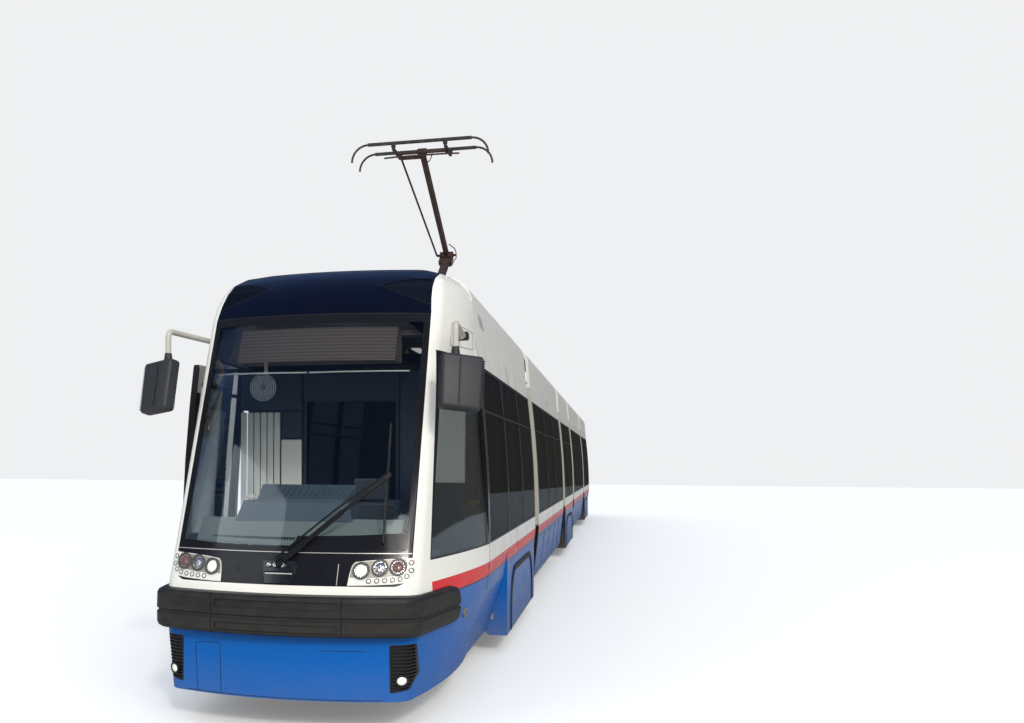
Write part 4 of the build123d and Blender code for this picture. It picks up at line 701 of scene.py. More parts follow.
APRON_SEAMS = (
    (((-0.712, 0.652), (-0.704, 0.188)), 0.005),
    (((0.712, 0.652), (0.704, 0.188)), 0.005),
    (((-0.704, 0.226), (0.704, 0.226)), 0.004),
    (((-0.625, 0.222), (-0.642, 0.560), (-0.560, 0.572)), 0.0035),
    (((-0.560, 0.572), (-0.440, 0.572), (-0.432, 0.222)), 0.0035),
    (((0.286, 0.556), (0.600, 0.556)), 0.003),
)
FAIRING_SEAM = ((((-0.846, 2.938), (0.846, 2.938)), 0.006, 0.0015),)
both_ends("apron_seams", drawing(line, APRON_SEAMS), seam_black)
both_ends("fairing_seam", drawing(line, FAIRING_SEAM), seam_black)
SEAM_BOLTS = ((-0.40, 0.505), (-0.40, 0.262), (0.330, 0.512), (0.620, 0.512), (0.600, 0.262))
STUD = ((0.009, -0.001), (0.009, 0.002), (0.006, 0.004), (0.0003, 0.004))
both_ends("apron_studs", drawing(turned_bowl, [(*bolt, STUD, 16) for bolt in SEAM_BOLTS]), mask_paint)

# Bumpers in grained charcoal. The black grilles of the apron's corners and the louvres of the fairing are
# moulded with them, and a round fog lamp with a raised rim sits in each grille.
def grained(name, colour, roughness, scale, depth, **sockets):
    """One colour with a fine grain over it."""
    material = new_finish(name, colour, roughness, **sockets)
    tree = material.node_tree
    orange_peel(tree, place_on(tree)[0], scale, depth)
    return material


black_plastic = grained("black_plastic", (0.014, 0.014, 0.015), 0.38, 700.0, 0.00015, Specular_IOR_Level=0.4)
louvre_black = grained("louvre_black", (0.005, 0.006, 0.010), 0.3, 500.0, 0.0001, Specular_IOR_Level=0.4)


def grained_charcoal():
    material = new_finish("bumper_charcoal", (0.022, 0.021, 0.020), 0.5, Specular_IOR_Level=0.25)
    tree = material.node_tree
    source, across, along, height = place_on(tree)
    worn = spread(tree, speckle(tree, source, 7.0, 6.0, (1.0, 1.0, 3.0)), 0.35, 0.75, 0.0, 0.5)
    colour = blend_colour(tree, worn, (0.018, 0.017, 0.016), (0.040, 0.038, 0.035))
    feed(tree, "Base Color", road_dust(tree, source, height, colour, 0.9, 0.16))
    orange_peel(tree, source, 420.0, 0.0005)
    return material


bumper_charcoal = grained_charcoal()
for name in ("front_bumper", "rear_bumper"):
    for polygon in paint(name, black_plastic, bumper_charcoal, louvre_black).polygons:
        height = polygon.center.z - RAIL
        polygon.material_index = 0 if height < 0.625 else 1 if height < 2.5 else 2
FOG_LAMPS = either_side([(0.822, 0.359)])
FOG_LENS = ((0.029, 0.008), (0.020, 0.013), (0.0003, 0.016))
apron_surface = surface_of("nose_mask", "front_bumper")
fog_rims = drawing(ring, [(*place, 0.034, 0.012, 0.000, 0.014, 32) for place in FOG_LAMPS])
fog_lenses = drawing(turned_bowl, [(*place, FOG_LENS, 28) for place in FOG_LAMPS])
both_ends("fog_rims", fog_rims, black_plastic, 0.002, surface=apron_surface)
both_ends("fog_lenses", fog_lenses, warm_bulb, surface=apron_surface, tail_finish=red_lens)

# Wiper: a flat black arm with a guide rod beside it, from a covered hub on the plinth to a long blade that
# parks upright at the left edge of the screen. Arm and blade stand a little off the glass.
satin_black = new_finish("satin_black", (0.006, 0.006, 0.007), 0.42, Specular_IOR_Level=0.2)
blade_rubber = new_finish("blade_rubber", (0.010, 0.010, 0.010), 0.7)
ARM_PATH = ((-0.015, 1.118), (0.140, 1.255), (0.380, 1.470), (0.655, 1.712))
BLADE_FOOT = (0.668, 1.262)
BLADE_HEAD = (0.646, 2.095)


def strip_between(bm, start, end, width, low, high, pieces=8):
    """A flat bar along the face from one (across, height) to another, from low to high off the glass."""
    run = Vector((end[0] - start[0], 0, end[1] - start[1]))
    middle = Vector(((start[0] + end[0]) / 2, (low + high) / 2, (start[1] + end[1]) / 2))
    turn = Matrix.Rotation(-atan2(run.z, run.x), 4, "Y")
    size = Matrix.Diagonal((run.length, high - low, width, 1))
    bar = bmesh.ops.create_cube(bm, size=1.0, matrix=Matrix.Translation(middle) @ turn @ size)["verts"]
    ahead = run.normalized()
    edges = {e for v in bar for e in v.link_edges if abs((e.verts[0].co - e.verts[1].co).dot(ahead)) > 1e-4}
    bmesh.ops.subdivide_edges(bm, edges=list(edges), cuts=pieces - 1, use_grid_fill=True)


def draw_wiper_arm(bm):
    widths = (0.044, 0.034, 0.026)
    for start, end, width in zip(ARM_PATH, ARM_PATH[1:], widths):
        strip_between(bm, start, end, width, 0.030, 0.044)
    offset = (-0.030, 0.036)
    shares = (1.0, 1.0, 0.9, 0.35)
    guide = [(x + offset[0] * share, z + offset[1] * share) for (x, z), share in zip(ARM_PATH, shares)]
    for start, end in zip(guide, guide[1:]):
        strip_between(bm, start, end, 0.013, 0.034, 0.042)
    turned_bowl(bm, *ARM_PATH[0], ((0.030, 0.028), (0.030, 0.048), (0.022, 0.054), (0.0003, 0.055)), 28)
    strip_between(bm, (0.640, 1.690), (0.672, 1.738), 0.034, 0.024, 0.048, 2)


def draw_wiper_blade(bm):
    strip_between(bm, BLADE_FOOT, BLADE_HEAD, 0.016, 0.016, 0.028, 14)
    middle = ((BLADE_FOOT[0] + BLADE_HEAD[0]) / 2, (BLADE_FOOT[1] + BLADE_HEAD[1]) / 2)
    for share in (0.18, 0.40, 0.60, 0.82):
        x = BLADE_FOOT[0] + (BLADE_HEAD[0] - BLADE_FOOT[0]) * share
        z = BLADE_FOOT[1] + (BLADE_HEAD[1] - BLADE_FOOT[1]) * share
        strip_between(bm, (x, z - 0.020), (x, z + 0.020), 0.020, 0.014, 0.031, 2)
    strip_between(bm, (middle[0], middle[1] - 0.19), (middle[0], middle[1] + 0.19), 0.012, 0.028, 0.037, 6)


def draw_wiper_rubber(bm):
    strip_between(bm, BLADE_FOOT, BLADE_HEAD, 0.006, 0.0015, 0.016, 14)


def on_nose(name, draw, finish, edge=0.0):
    bm = bmesh.new()
    draw(bm)
    joined(bm)
    lay_on_face(bm)
    return finished(name, bm, "section_a", finish, edge, tidy=False)


wiper_arm = on_nose("wiper_arm", draw_wiper_arm, satin_black, 0.003)
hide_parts("wiper")
on_nose("wiper_blade", draw_wiper_blade, satin_black, 0.002)
on_nose("wiper_rubber", draw_wiper_rubber, blade_rubber)

# Outside mirrors: ribbed dark housings on bent cream tubes. Each tube lies in a slot of the pillar panel and
# drops to the housing's top, where a rubber cuff takes it. The glass faces the tail.
mirror_grain = grained("mirror_grain", (0.030, 0.031, 0.033), 0.5, 900.0, 0.0004)
tube_cream = new_finish("tube_cream", (0.50, 0.47, 0.41), 0.35)
mirror_glass = new_finish("mirror_glass", (0.55, 0.58, 0.60), 0.03, Metallic=1.0)
MIRROR_CENTRE = (1.150, NOSE + 0.650, 2.385 + RAIL)
MIRROR_SIZE = (0.310, 0.105, 0.400)
MIRROR_TURN = radians(25)
MIRROR_TILT = radians(14)
MIRROR_TUBE = 0.022
MIRROR_RIB_PITCH = 0.0185
MIRROR_DROP = (1.105, NOSE + 0.700)
MIRROR_ROOT = (0.985, NOSE + 1.510, 2.815 + RAIL)


def mirror_place(side):
    centre = Matrix.Translation((side * MIRROR_CENTRE[0], MIRROR_CENTRE[1], MIRROR_CENTRE[2]))
    return centre @ Matrix.Rotation(-MIRROR_TILT, 4, "X") @ Matrix.Rotation(side * MIRROR_TURN, 4, "Z")


def next_rim(bm, edges):
    """The rim is extruded in place: its new vertices, to be moved on, and its new edges."""
    verts = made_verts(bmesh.ops.extrude_edge_only(bm, edges=edges))
    fresh = set(verts)
    around = {e for v in verts for e in v.link_edges}
    return verts, [e for e in around if e.verts[0] in fresh and e.verts[1] in fresh]


def swept_tube(bm, points, radius, segments=16, steps=8, rounding=0.06):
    """A round tube along straight runs with rounded bends: a circle, extruded from place to place."""
    path = [Vector(points[0])]
    for before, corner, after in zip(points, points[1:], points[2:]):
        corner = Vector(corner)
        back = Vector(before) - corner
        ahead = Vector(after) - corner
        reach = min(rounding, back.length * 0.45, ahead.length * 0.45)
        start = corner + back.normalized() * reach
        end = corner + ahead.normalized() * reach
        for i in range(steps + 1):
            t = i / steps
            path.append(start * (1 - t) ** 2 + corner * 2 * t * (1 - t) + end * t ** 2)
    path.append(Vector(points[-1]))
    heading = (path[1] - path[0]).normalized()
    facing = Vector((0, 0, 1)).rotation_difference(heading).to_matrix().to_4x4()
    rim = bmesh.ops.create_circle(bm, cap_ends=True, radius=radius, segments=segments,
                                  matrix=Matrix.Translation(path[0]) @ facing)["verts"]
    edges = list({e for v in rim for e in v.link_edges})
    for i in range(1, len(path)):
        verts, edges = next_rim(bm, edges)
        ahead = (path[min(i + 1, len(path) - 1)] - path[i - 1]).normalized()
        turn = heading.rotation_difference(ahead).to_matrix().to_4x4()
        move = Matrix.Translation(path[i]) @ turn @ Matrix.Translation(-path[i - 1])
        bmesh.ops.transform(bm, matrix=move, verts=verts)
        heading = ahead
    bmesh.ops.contextual_create(bm, geom=edges)


def rounded_block(bm, size, edge, segments=3, place=Matrix.Identity(4)):
    made = bmesh.ops.create_cube(bm, size=1.0, matrix=Matrix.Diagonal((*size, 1)))
    edges = list({e for v in made["verts"] for e in v.link_edges})
    if edge:
        cut = bmesh.ops.bevel(bm, geom=edges, offset=edge, segments=segments, profile=0.5, material=-1,
                              affect="EDGES")
        verts = list({v for f in cut["faces"] for v in f.verts} | {v for v in made["verts"] if v.is_valid})
    else:
        verts = made["verts"]
    seen = set(verts)
    for v in verts:
        for e in v.link_edges:
            seen.add(e.other_vert(v))
    bmesh.ops.transform(bm, matrix=place, verts=list(seen))
    return list(seen)


def stub(bm, centre, first, second, length, turn=Matrix.Identity(4), segments=28):
    """A turned disc or rod, with a radius for each end."""
    bmesh.ops.create_cone(bm, cap_ends=True, segments=segments, radius1=first, radius2=second, depth=length,
                          matrix=Matrix.Translation(centre) @ turn)


def shaped(name, body, finish, shape, rows, edge=0.0):
    """A piece made of one shape, once for each row of its values."""
    bm = bmesh.new()
    drawing(shape, rows)(bm)
    return finished(name, bm, body, finish, edge)


HANDS = ((1, "left"), (-1, "right"))
for side, name in HANDS:
    bm = bmesh.new()
    housing = rounded_block(bm, MIRROR_SIZE, 0.026, 4)
    for v in housing:
        narrowing = 1.0 - 0.10 * (0.5 - v.co.z / MIRROR_SIZE[2]) * 0.6
        v.co.x *= narrowing
        if v.co.y < 0:
            bulge = (1 - (2 * v.co.x / MIRROR_SIZE[0]) ** 2) * (1 - (2 * v.co.z / MIRROR_SIZE[2]) ** 2)
            v.co.y -= 0.018 * bulge
    bmesh.ops.transform(bm, matrix=mirror_place(side), verts=housing)
    piece = finished(f"{name}_mirror_housing", bm, "section_a", mirror_grain, 0.0, 40)
    if side > 0:
        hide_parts("mirrors")

    turned = mirror_place(side)
    half_x, half_y = MIRROR_SIZE[0] / 2, MIRROR_SIZE[1] / 2
    ribs = [((0.040, 0.060, 0.007), 0.002, 1,
             turned @ Matrix.Translation((side * (half_x - 0.012), -0.014, (i - 9) * MIRROR_RIB_PITCH)))
            for i in range(19)]
    ribs.append(((0.010, 0.012, MIRROR_SIZE[2] - 0.07), 0.003, 2,
                 turned @ Matrix.Translation((-side * 0.020, -half_y - 0.012, 0))))
    shaped(f"{name}_mirror_ribs", "section_a", mirror_grain, rounded_block, ribs)
    shaped(f"{name}_mirror_glass", "section_a", mirror_glass, rounded_block,
           [((MIRROR_SIZE[0] - 0.05, 0.006, MIRROR_SIZE[2] - 0.05), 0.002, 2,
             turned @ Matrix.Translation((0, half_y + 0.001, 0)))])

    top = MIRROR_CENTRE[2] + MIRROR_SIZE[2] / 2
    x, y = side * MIRROR_DROP[0], MIRROR_DROP[1]
    root_x, root_y, arm_z = MIRROR_ROOT
    tube = ((side * root_x, root_y, arm_z), (side * (root_x + 0.060), root_y - 0.090, arm_z), (x, y, arm_z),
            (x, y, top - 0.03))
    shaped(f"{name}_mirror_tube", "section_a", tube_cream, swept_tube, [(tube, MIRROR_TUBE, 20, 8, 0.06)])
    cuff = [((x, y, top + up), radius, radius * 0.94, 0.024)
            for up, radius in ((0.008, 0.034), (0.030, 0.031), (0.050, 0.028))]
    shaped(f"{name}_mirror_cuff", "section_a", mirror_grain, stub, cuff, 0.002)

# Body sides are drawn flat too, as relief, along and height, and laid on the leaning sill panel and the
# barrelled wall above it.
SILL_X = 1.105
SILL_Z = 0.300
WAIST_X = 1.175
WAIST_Z = 0.950
SIDE_RADIUS = 13.8
SKIRT_X = 1.178
SECTION_SPANS = {"a": (2.0503, 6.570), "b": (7.130, 12.850), "c": (13.410, 16.710), "d": (17.270, 22.990),
                 "e": (23.550, 28.0697)}


def side_x(height):
    if height <= WAIST_Z:
        return WAIST_X - (WAIST_Z - height) * (WAIST_X - SILL_X) / (WAIST_Z - SILL_Z)
    return WAIST_X - SIDE_RADIUS + sqrt(SIDE_RADIUS ** 2 - (height - WAIST_Z) ** 2)


def lay_on_side(bm, side, flat=False):
    """Relief, along from the nose and height over the rail become a place on the body side."""
    for v in bm.verts:
        relief, along, height = v.co
        base = SKIRT_X if flat else side_x(height)
        v.co = (side * (base + relief), NOSE + along, height + RAIL)
    bmesh.ops.recalc_face_normals(bm, faces=bm.faces[:])


def side_plate(bm, corners, low, high):
    """A flat plate with corners (along, height), bent where the wall bends."""
    face = bm.faces.new([bm.verts.new((high, y, z)) for y, z in corners])
    extruded = bmesh.ops.extrude_face_region(bm, geom=[face])
    for v in made_verts(extruded):
        v.co.x = low
    top = max(z for y, z in corners)
    bottom = min(z for y, z in corners)
    for cut in (WAIST_Z, 1.4, 1.85, 2.3, 2.7):
        if bottom < cut < top:
            bmesh.ops.bisect_plane(bm, geom=bm.verts[:] + bm.edges[:] + bm.faces[:], dist=1e-6,
                                   plane_co=(0, 0, cut), plane_no=(0, 0, 1))


def side_line(bm, start, end, width, low=-0.002, high=0.0016):
    side_plate(bm, ribbon(start, end, width), low, high)


# Seams and flaps of the body sides: service flaps below the stripe, and joints between the side panels.
# Each is closed by a dark rubber gasket, level with the paint.
BOGIE_CENTRES = {"a": 4.850, "c": 15.060, "e": 25.270}
SKIRT_HALF = 1.480
SEAM_WIDTH = 0.004
FLAP_LOW = 0.370
FLAP_HIGH = 0.835
ROOF_JOINT = (2.664, 2.846)
DOORWAYS = {"a": ((2.100, 2.850),), "b": ((7.890, 9.190), (10.790, 12.090)), "c": (),
            "d": ((18.030, 19.330), (20.930, 22.230)), "e": ((27.270, 28.020),)}


def clear_spans(start, end, taken):
    spans = []
    for a, b in sorted(taken):
        if a - start > 0.25:
            spans.append((start, a))
        start = max(start, b)
    if end - start > 0.25:
        spans.append((start, end))
    return spans


for letter, (start, end) in SECTION_SPANS.items():
    for side, hand in HANDS:
        bm = bmesh.new()
        taken = []
        if letter in BOGIE_CENTRES:
            centre = BOGIE_CENTRES[letter]
            taken.append((centre - SKIRT_HALF, centre + SKIRT_HALF))
        if side < 0:
            taken += DOORWAYS[letter]
        if letter in "ae":
            nose_end = start if letter == "a" else end
            y = nose_end + (0.003 if letter == "a" else -0.003)
            for low, high in ((0.760, BAND_LOW), ROOF_JOINT):
                side_line(bm, (y, low), (y, high), SEAM_WIDTH)
            taken.append((min(nose_end, BOGIE_CENTRES[letter]), max(nose_end, BOGIE_CENTRES[letter])))
        for first, last in clear_spans(start + 0.02, end - 0.02, taken):
            count = max(1, round((last - first) / 1.15))
            width = (last - first) / count
            for i in range(count):
                low_y, high_y = first + i * width + 0.03, first + (i + 1) * width - 0.03
                for z in (FLAP_LOW, FLAP_HIGH):
                    side_line(bm, (low_y, z), (high_y, z), SEAM_WIDTH)
                for y in (low_y, high_y):
                    side_line(bm, (y, FLAP_LOW), (y, FLAP_HIGH), SEAM_WIDTH)
        for first, last in clear_spans(start + 0.02, end - 0.02, DOORWAYS[letter] if side < 0 else ()):
            count = max(1, round((last - first) / 2.3))
            for i in range(1, count):
                y = first + (last - first) * i / count
                for low, high in ((0.875, BAND_LOW), ROOF_JOINT):
                    side_line(bm, (y, low), (y, high), SEAM_WIDTH)
        if bm.verts:
            lay_on_side(bm, side)
            finished(f"side_seams_{letter}_{hand}", bm, f"section_{letter}", seam_black)

# Beside the cab: a round marker lamp behind the bumper's end, a flat black plate of painted shade where each
# mirror's tube leaves its panel through a slot, the seam round that panel, and a grey lid on the cowl.
beside_surface = surface_of("nose_mask", "shell_a", "roof_a")
MARKER = (1.300, 0.676)
TUBE_SLOT_SHADE = ((1.430, 2.792), (1.430, 2.838), (1.480, 2.856), (1.740, 2.892), (1.790, 2.880), (1.785, 2.838),
             (1.740, 2.820), (1.480, 2.785))
TUBE_PANEL = ((1.250, 2.726), (1.330, 2.905), (1.960, 2.905), (1.900, 2.760), (1.250, 2.726))
COWL_LID = ((2.336, 3.132), (2.579, 3.105), (2.687, 3.013), (2.409, 3.035))
lid_grey = grained("lid_grey", (0.42, 0.43, 0.44), 0.35, 160.0, 0.0002)


def lay_beside(bm, side):
    """Along, relief and height become a place on the side of the mask or of the section behind it."""
    for v in bm.verts:
        along, relief, height = v.co
        start = Vector((side * 2, NOSE + along, height + RAIL))
        hit, normal, index, distance = beside_surface.ray_cast(start, Vector((-side, 0, 0)))
        if hit is None:
            start.x = side * 1.15
            hit, normal, index, distance = beside_surface.find_nearest(start)
        outward = normal if normal.x * side > 0 else -normal
        v.co = hit + outward * relief
    bmesh.ops.recalc_face_normals(bm, faces=bm.faces[:])


def beside_both_ends(name, draw, finish, edge=0.0, places=("nose", "tail")):
    for place in places:
        for side, hand in HANDS:
            bm = bmesh.new()
            draw(bm)
            bmesh.ops.remove_doubles(bm, verts=bm.verts[:], dist=1e-6)
            lay_beside(bm, side)
            if place == "tail":
                turned_end_for_end(bm)
            body = "section_a" if place == "nose" else "section_e"
            finished(f"{place}_{name}_{hand}", bm, body, finish, edge, tidy=False)


MARKER_LENS = ((0.027, 0.004), (0.020, 0.013), (0.0003, 0.017))
marker_rim = drawing(ring, [(*MARKER, 0.032, 0.012, -0.002, 0.014, 32)])
beside_both_ends("marker_rims", marker_rim, bright_moulding, 0.002)
beside_both_ends("marker_lenses", drawing(turned_bowl, [(*MARKER, MARKER_LENS, 28)]), amber_lens)
# The slot is not cut: a flat black plate paints the shade inside it.
beside_both_ends("tube_slots", drawing(plate, [(TUBE_SLOT_SHADE, 0.0015, -0.003)]), black_plastic, places=("nose",))
beside_both_ends("tube_panels", drawing(line, [(TUBE_PANEL, 0.0035)]), seam_black, places=("nose",))
beside_both_ends("cowl_lids", drawing(plate, [(COWL_LID, 0.002, -0.003)]), lid_grey)

# Side glass: dark tinted panes, flush in the black band, each with a rubber frame and a tilting top light.
# The cab's own panes are clearer, like the windscreen.
side_tint = clear_glass("side_tint", (0.30, 0.32, 0.325), False, 0.30)
cab_tint = clear_glass("cab_tint", (0.84, 0.86, 0.87), False, 0.55)
for letter in "abcde":
    for polygon in paint(f"glass_{letter}", side_tint, cab_tint).polygons:
        polygon.material_index = 1 if abs(polygon.center.y) > LENGTH / 2 - 2.04 else 0

WINDOW_LOW = 1.155
WINDOW_HIGH = 2.650
WINDOW_POST = 0.060
WINDOW_MARGIN = 0.120
TOP_LIGHT = 2.270
window_rubber = grained("window_rubber", (0.014, 0.014, 0.015), 0.55, 300.0, 0.0002)


def panes(first, last, count):
    width = (last - first - (count - 1) * WINDOW_POST) / count
    starts = [first + i * (width + WINDOW_POST) for i in range(count)]
    return [(start, start + width) for start in starts]


def pane_spans(letter, side):
    start, end = SECTION_SPANS[letter]
    first, last = start + WINDOW_MARGIN, end - WINDOW_MARGIN
    doors = DOORWAYS[letter] if side < 0 else ()
    if letter == "a" and doors:
        return panes(doors[0][1] + WINDOW_POST, last, 3)
    if letter == "e" and doors:
        return panes(first, doors[0][0] - WINDOW_POST, 3)
    if doors:
        posts = [y for door in doors for y in (door[0] - WINDOW_POST, door[1] + WINDOW_POST)]
        ends = [first, *posts, last]
        return list(zip(ends[::2], ends[1::2]))
    return panes(first, last, 2 if letter == "c" else 3)


for letter in "abcde":
    for side, hand in HANDS:
        bm = bmesh.new()
        for start, end in pane_spans(letter, side):
            for y in (start + 0.006, end - 0.006):
                side_line(bm, (y, WINDOW_LOW), (y, WINDOW_HIGH), 0.016, -0.003, 0.0022)
            for z in (WINDOW_LOW + 0.006, WINDOW_HIGH - 0.006):
                side_line(bm, (start, z), (end, z), 0.016, -0.003, 0.0022)
            if end - start > 1.0:
                side_line(bm, (start + 0.02, TOP_LIGHT), (end - 0.02, TOP_LIGHT), 0.022, -0.003, 0.0045)
        lay_on_side(bm, side)
        finished(f"window_rubbers_{letter}_{hand}", bm, f"section_{letter}", window_rubber, 0.001)

# Doors: leaves in the livery, with rubber finger guards and window rubbers, and a lit button beside each
# doorway. The front leaf stands open.
OPEN_OUT = 0.095
OPEN_ALONG = -0.800
BUTTON_HEIGHT = 1.060
for name in ("door_front", "doors_b", "doors_d", "door_rear"):
    paint(name, body_paint)
button_green = new_finish("button_green", (0.05, 0.42, 0.10), 0.3, Emission_Strength=0.4,
                          Emission_Color=(0.1, 0.8, 0.2, 1))


def placed(*points):
    """Points from the nose and over the rail, in the frame."""
    return [(x, NOSE + y, z + RAIL) for x, y, z in points]


def leaf_spans(doorway):
    start, end = doorway
    if end - start < 1.0:
        return [(start, end)]
    return [(start, (start + end) / 2), ((start + end) / 2, end)]


for letter, doorways in DOORWAYS.items():
    if not doorways:
        continue
    bm = bmesh.new()
    out = OPEN_OUT if letter == "a" else 0.0
    along = OPEN_ALONG if letter == "a" else 0.0
    for doorway in doorways:
        for start, end in leaf_spans(doorway):
            for y in (start + along + 0.010, end + along - 0.010):
                side_line(bm, (y, 0.345), (y, 2.600), 0.018, out - 0.046, out + 0.003)
            for z in (0.835, 2.466):
                foot, head = (start + along + 0.09, z), (end + along - 0.09, z)
                side_line(bm, foot, head, 0.026, out - 0.003, out + 0.0025)
            for y in (start + along + 0.095, end + along - 0.095):
                side_line(bm, (y, 0.825), (y, 2.476), 0.026, out - 0.003, out + 0.0025)
    lay_on_side(bm, -1)
    finished(f"door_rubbers_{letter}", bm, f"section_{letter}", window_rubber, 0.001)
    outward = Matrix.Rotation(-pi / 2, 4, "Y")
    wall = -side_x(BUTTON_HEIGHT) - 0.004
    buttons = [(*placed((wall, end + 0.035, BUTTON_HEIGHT)), 0.030, 0.026, 0.012, outward)
               for start, end in doorways]
    shaped(f"door_buttons_{letter}", f"section_{letter}", button_green, stub, buttons, 0.003)

# Bogie skirts: a black rubber lip of even width round each wheel arch, whose black is also painted shade for
# the gap round the inset cover; pressed ribs across the steel cover that fills it, two bright catches, and a
# row of small screws along its foot.
ARCH_HALF = 1.180
ARCH_TOP = 0.770
ARCH_CORNER = 0.420
LIP_LOW = 0.160


def arch_curve(centre, shrink):
    """Points of (along, height) up one side of the arch, over it and down the other."""
    half, top, corner = ARCH_HALF - shrink, ARCH_TOP - shrink, ARCH_CORNER - shrink
    angles = [pi / 2 * i / 8 for i in range(9)]
    rounds = [(half - corner + corner * sin(a), top - corner + corner * cos(a)) for a in angles]
    return ([(centre - half, LIP_LOW)] + [(centre - y, z) for y, z in reversed(rounds)]
            + [(centre + y, z) for y, z in rounds] + [(centre + half, LIP_LOW)])


def draw_lip_and_gap_shade(bm, centre):
    outer = [bm.verts.new((0.012, y, z)) for y, z in arch_curve(centre, -0.006)]
    inner = [bm.verts.new((0.012, y, z)) for y, z in arch_curve(centre, 0.050)]
    for points in (outer, inner):
        for first, second in zip(points, points[1:]):
            bm.edges.new((first, second))
    bridged = bmesh.ops.bridge_loops(bm, edges=bm.edges[:])
    extruded = bmesh.ops.extrude_face_region(bm, geom=bridged["faces"])
    for v in made_verts(extruded):
        v.co.x = -0.020


def draw_cover(bm, centre):
    for offset in (-0.80, -0.30, 0.20, 0.70):
        side_line(bm, (centre + offset, 0.250), (centre + offset + 0.30, 0.470), 0.022, -0.006, 0.004)
    for offset in (-0.75, -0.25, 0.25):
        side_line(bm, (centre + offset, 0.520), (centre + offset + 0.28, 0.670), 0.022, -0.006, 0.004)


def draw_bolts(bm, side, places, radius=0.011, depth=0.008):
    for y, z in places:
        stub(bm, (side * (SKIRT_X + 0.003), NOSE + y, z + RAIL), radius, radius * 0.7, depth,
             Matrix.Rotation(side * pi / 2, 4, "Y"), 12)


for letter, centre in BOGIE_CENTRES.items():
    for side, hand in HANDS:
        bm = bmesh.new()
        # The lip is real; its black also paints the shade of the gap between the arch and the inset cover.
        draw_lip_and_gap_shade(bm, centre)
        lay_on_side(bm, side, flat=True)
        finished(f"arch_lip_{letter}_{hand}", bm, f"section_{letter}", window_rubber, 0.004)
        bm = bmesh.new()
        draw_cover(bm, centre)
        lay_on_side(bm, side, flat=True)
        bmesh.ops.translate(bm, vec=(-side * 0.008, 0, 0), verts=bm.verts[:])
        finished(f"cover_pressings_{letter}_{hand}", bm, f"section_{letter}", body_paint, 0.003)
        bm = bmesh.new()
        draw_bolts(bm, side, [(centre + offset, 0.385) for offset in (-0.86, 0.22)], 0.022, 0.012)
        draw_bolts(bm, side, [(centre + 0.30 * i, 0.185) for i in range(-3, 4)])
        finished(f"cover_fasteners_{letter}_{hand}", bm, f"section_{letter}", bright_moulding, 0.002)

# Gangway bellows: a pleated rubberised fabric sleeve round each gap, hung between the two end frames.
def mottled(name, colour, roughness, other, patches, grain, first=None, stretch=None, **sockets):
    """Patches of another colour, as (scale, detail, low, high, share), under a grain of (scale, depth)."""
    material = new_finish(name, colour, roughness, **sockets)
    tree = material.node_tree
    source = place_on(tree)[0]
    scale, detail, low, high, share = patches
    amount = spread(tree, speckle(tree, source, scale, detail, stretch), low, high, 0.0, share)
    feed(tree, "Base Color", blend_colour(tree, amount, first or colour, other))
    orange_peel(tree, source, *grain)
    return material


bellows_fabric = mottled("bellows_fabric", (0.016, 0.015, 0.016), 0.8, (0.070, 0.064, 0.058),
                         (6.0, 6.0, 0.35, 0.75, 0.35), (240.0, 0.0006), stretch=(1.0, 1.0, 2.0))
GANGWAYS = {"ab": -8.210, "bc": -1.930, "cd": 1.930, "de": 8.210}
BELLOWS_LOW = 0.430
BELLOWS_TOP = 2.790
BELLOWS_HALF = 1.000
BELLOWS_CORNER = 0.140
BELLOWS_REACH = 0.2775
PLEATS = 11
for pair, pivot in GANGWAYS.items():
    bm = bmesh.new()
    middle = (BELLOWS_LOW + BELLOWS_TOP) / 2 + RAIL
    half_height = (BELLOWS_TOP - BELLOWS_LOW) / 2
    upright = Matrix.Translation((0, pivot - BELLOWS_REACH, middle)) @ Matrix.Rotation(pi / 2, 4, "X")
    bmesh.ops.create_grid(bm, x_segments=1, y_segments=1, size=1.0,
                          matrix=upright @ Matrix.Diagonal((BELLOWS_HALF, half_height, 1, 1)))
    bmesh.ops.bevel(bm, geom=bm.verts[:], offset=BELLOWS_CORNER, segments=8, profile=0.5, material=-1,
                    affect="VERTICES")
    edges = bm.edges[:]
    bmesh.ops.delete(bm, geom=bm.faces[:], context="FACES_ONLY")
    for i in range(1, 2 * PLEATS + 1):
        verts, edges = next_rim(bm, edges)
        bmesh.ops.translate(bm, vec=(0, BELLOWS_REACH / PLEATS, 0), verts=verts)
        fold = 0.022 if i % 2 else -0.022
        for v in verts:
            v.co.x += fold * v.co.x / BELLOWS_HALF
            v.co.z += fold * (v.co.z - middle) / (BELLOWS_TOP - middle)
    bmesh.ops.solidify(bm, geom=bm.faces[:], thickness=0.004)
    sleeve = finished(f"bellows_sleeve_{pair}", bm, None, bellows_fabric, 0.0, 30)
    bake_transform(sleeve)
    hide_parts(f"bellows_{pair}")

# Roofs: cream cowls along the edges, a grey walkway deck between them, and pale equipment covers with
# louvres, lids and round fans.
COWL_INNER = 0.80
DECK_TOP = 2.900


def roof_livery():
    material = new_finish("roof_livery", CREAM, 0.3, Specular_IOR_Level=0.4)
    tree = material.node_tree
    source, across, along, height = place_on(tree)
    soot = spread(tree, speckle(tree, source, 3.0, 6.0, (1.0, 0.5, 1.0)), 0.3, 0.75, 0.0, 0.55)
    deck = blend_colour(tree, soot, (0.23, 0.235, 0.24), (0.085, 0.080, 0.075))
    cover = blend_colour(tree, soot, (0.50, 0.50, 0.49), (0.24, 0.23, 0.21))
    deck = blend_colour(tree, over(tree, height, DECK_TOP + 0.01), deck, cover)
    cowl = over(tree, across, COWL_INNER)
    colour = blend_colour(tree, cowl, deck, CREAM)
    feed(tree, "Base Color", colour)
    feed(tree, "Roughness", blend_colour(tree, cowl, (0.6, 0.6, 0.6), (0.24, 0.24, 0.24)))
    orange_peel(tree, source, 120.0, 0.0002)
    return material


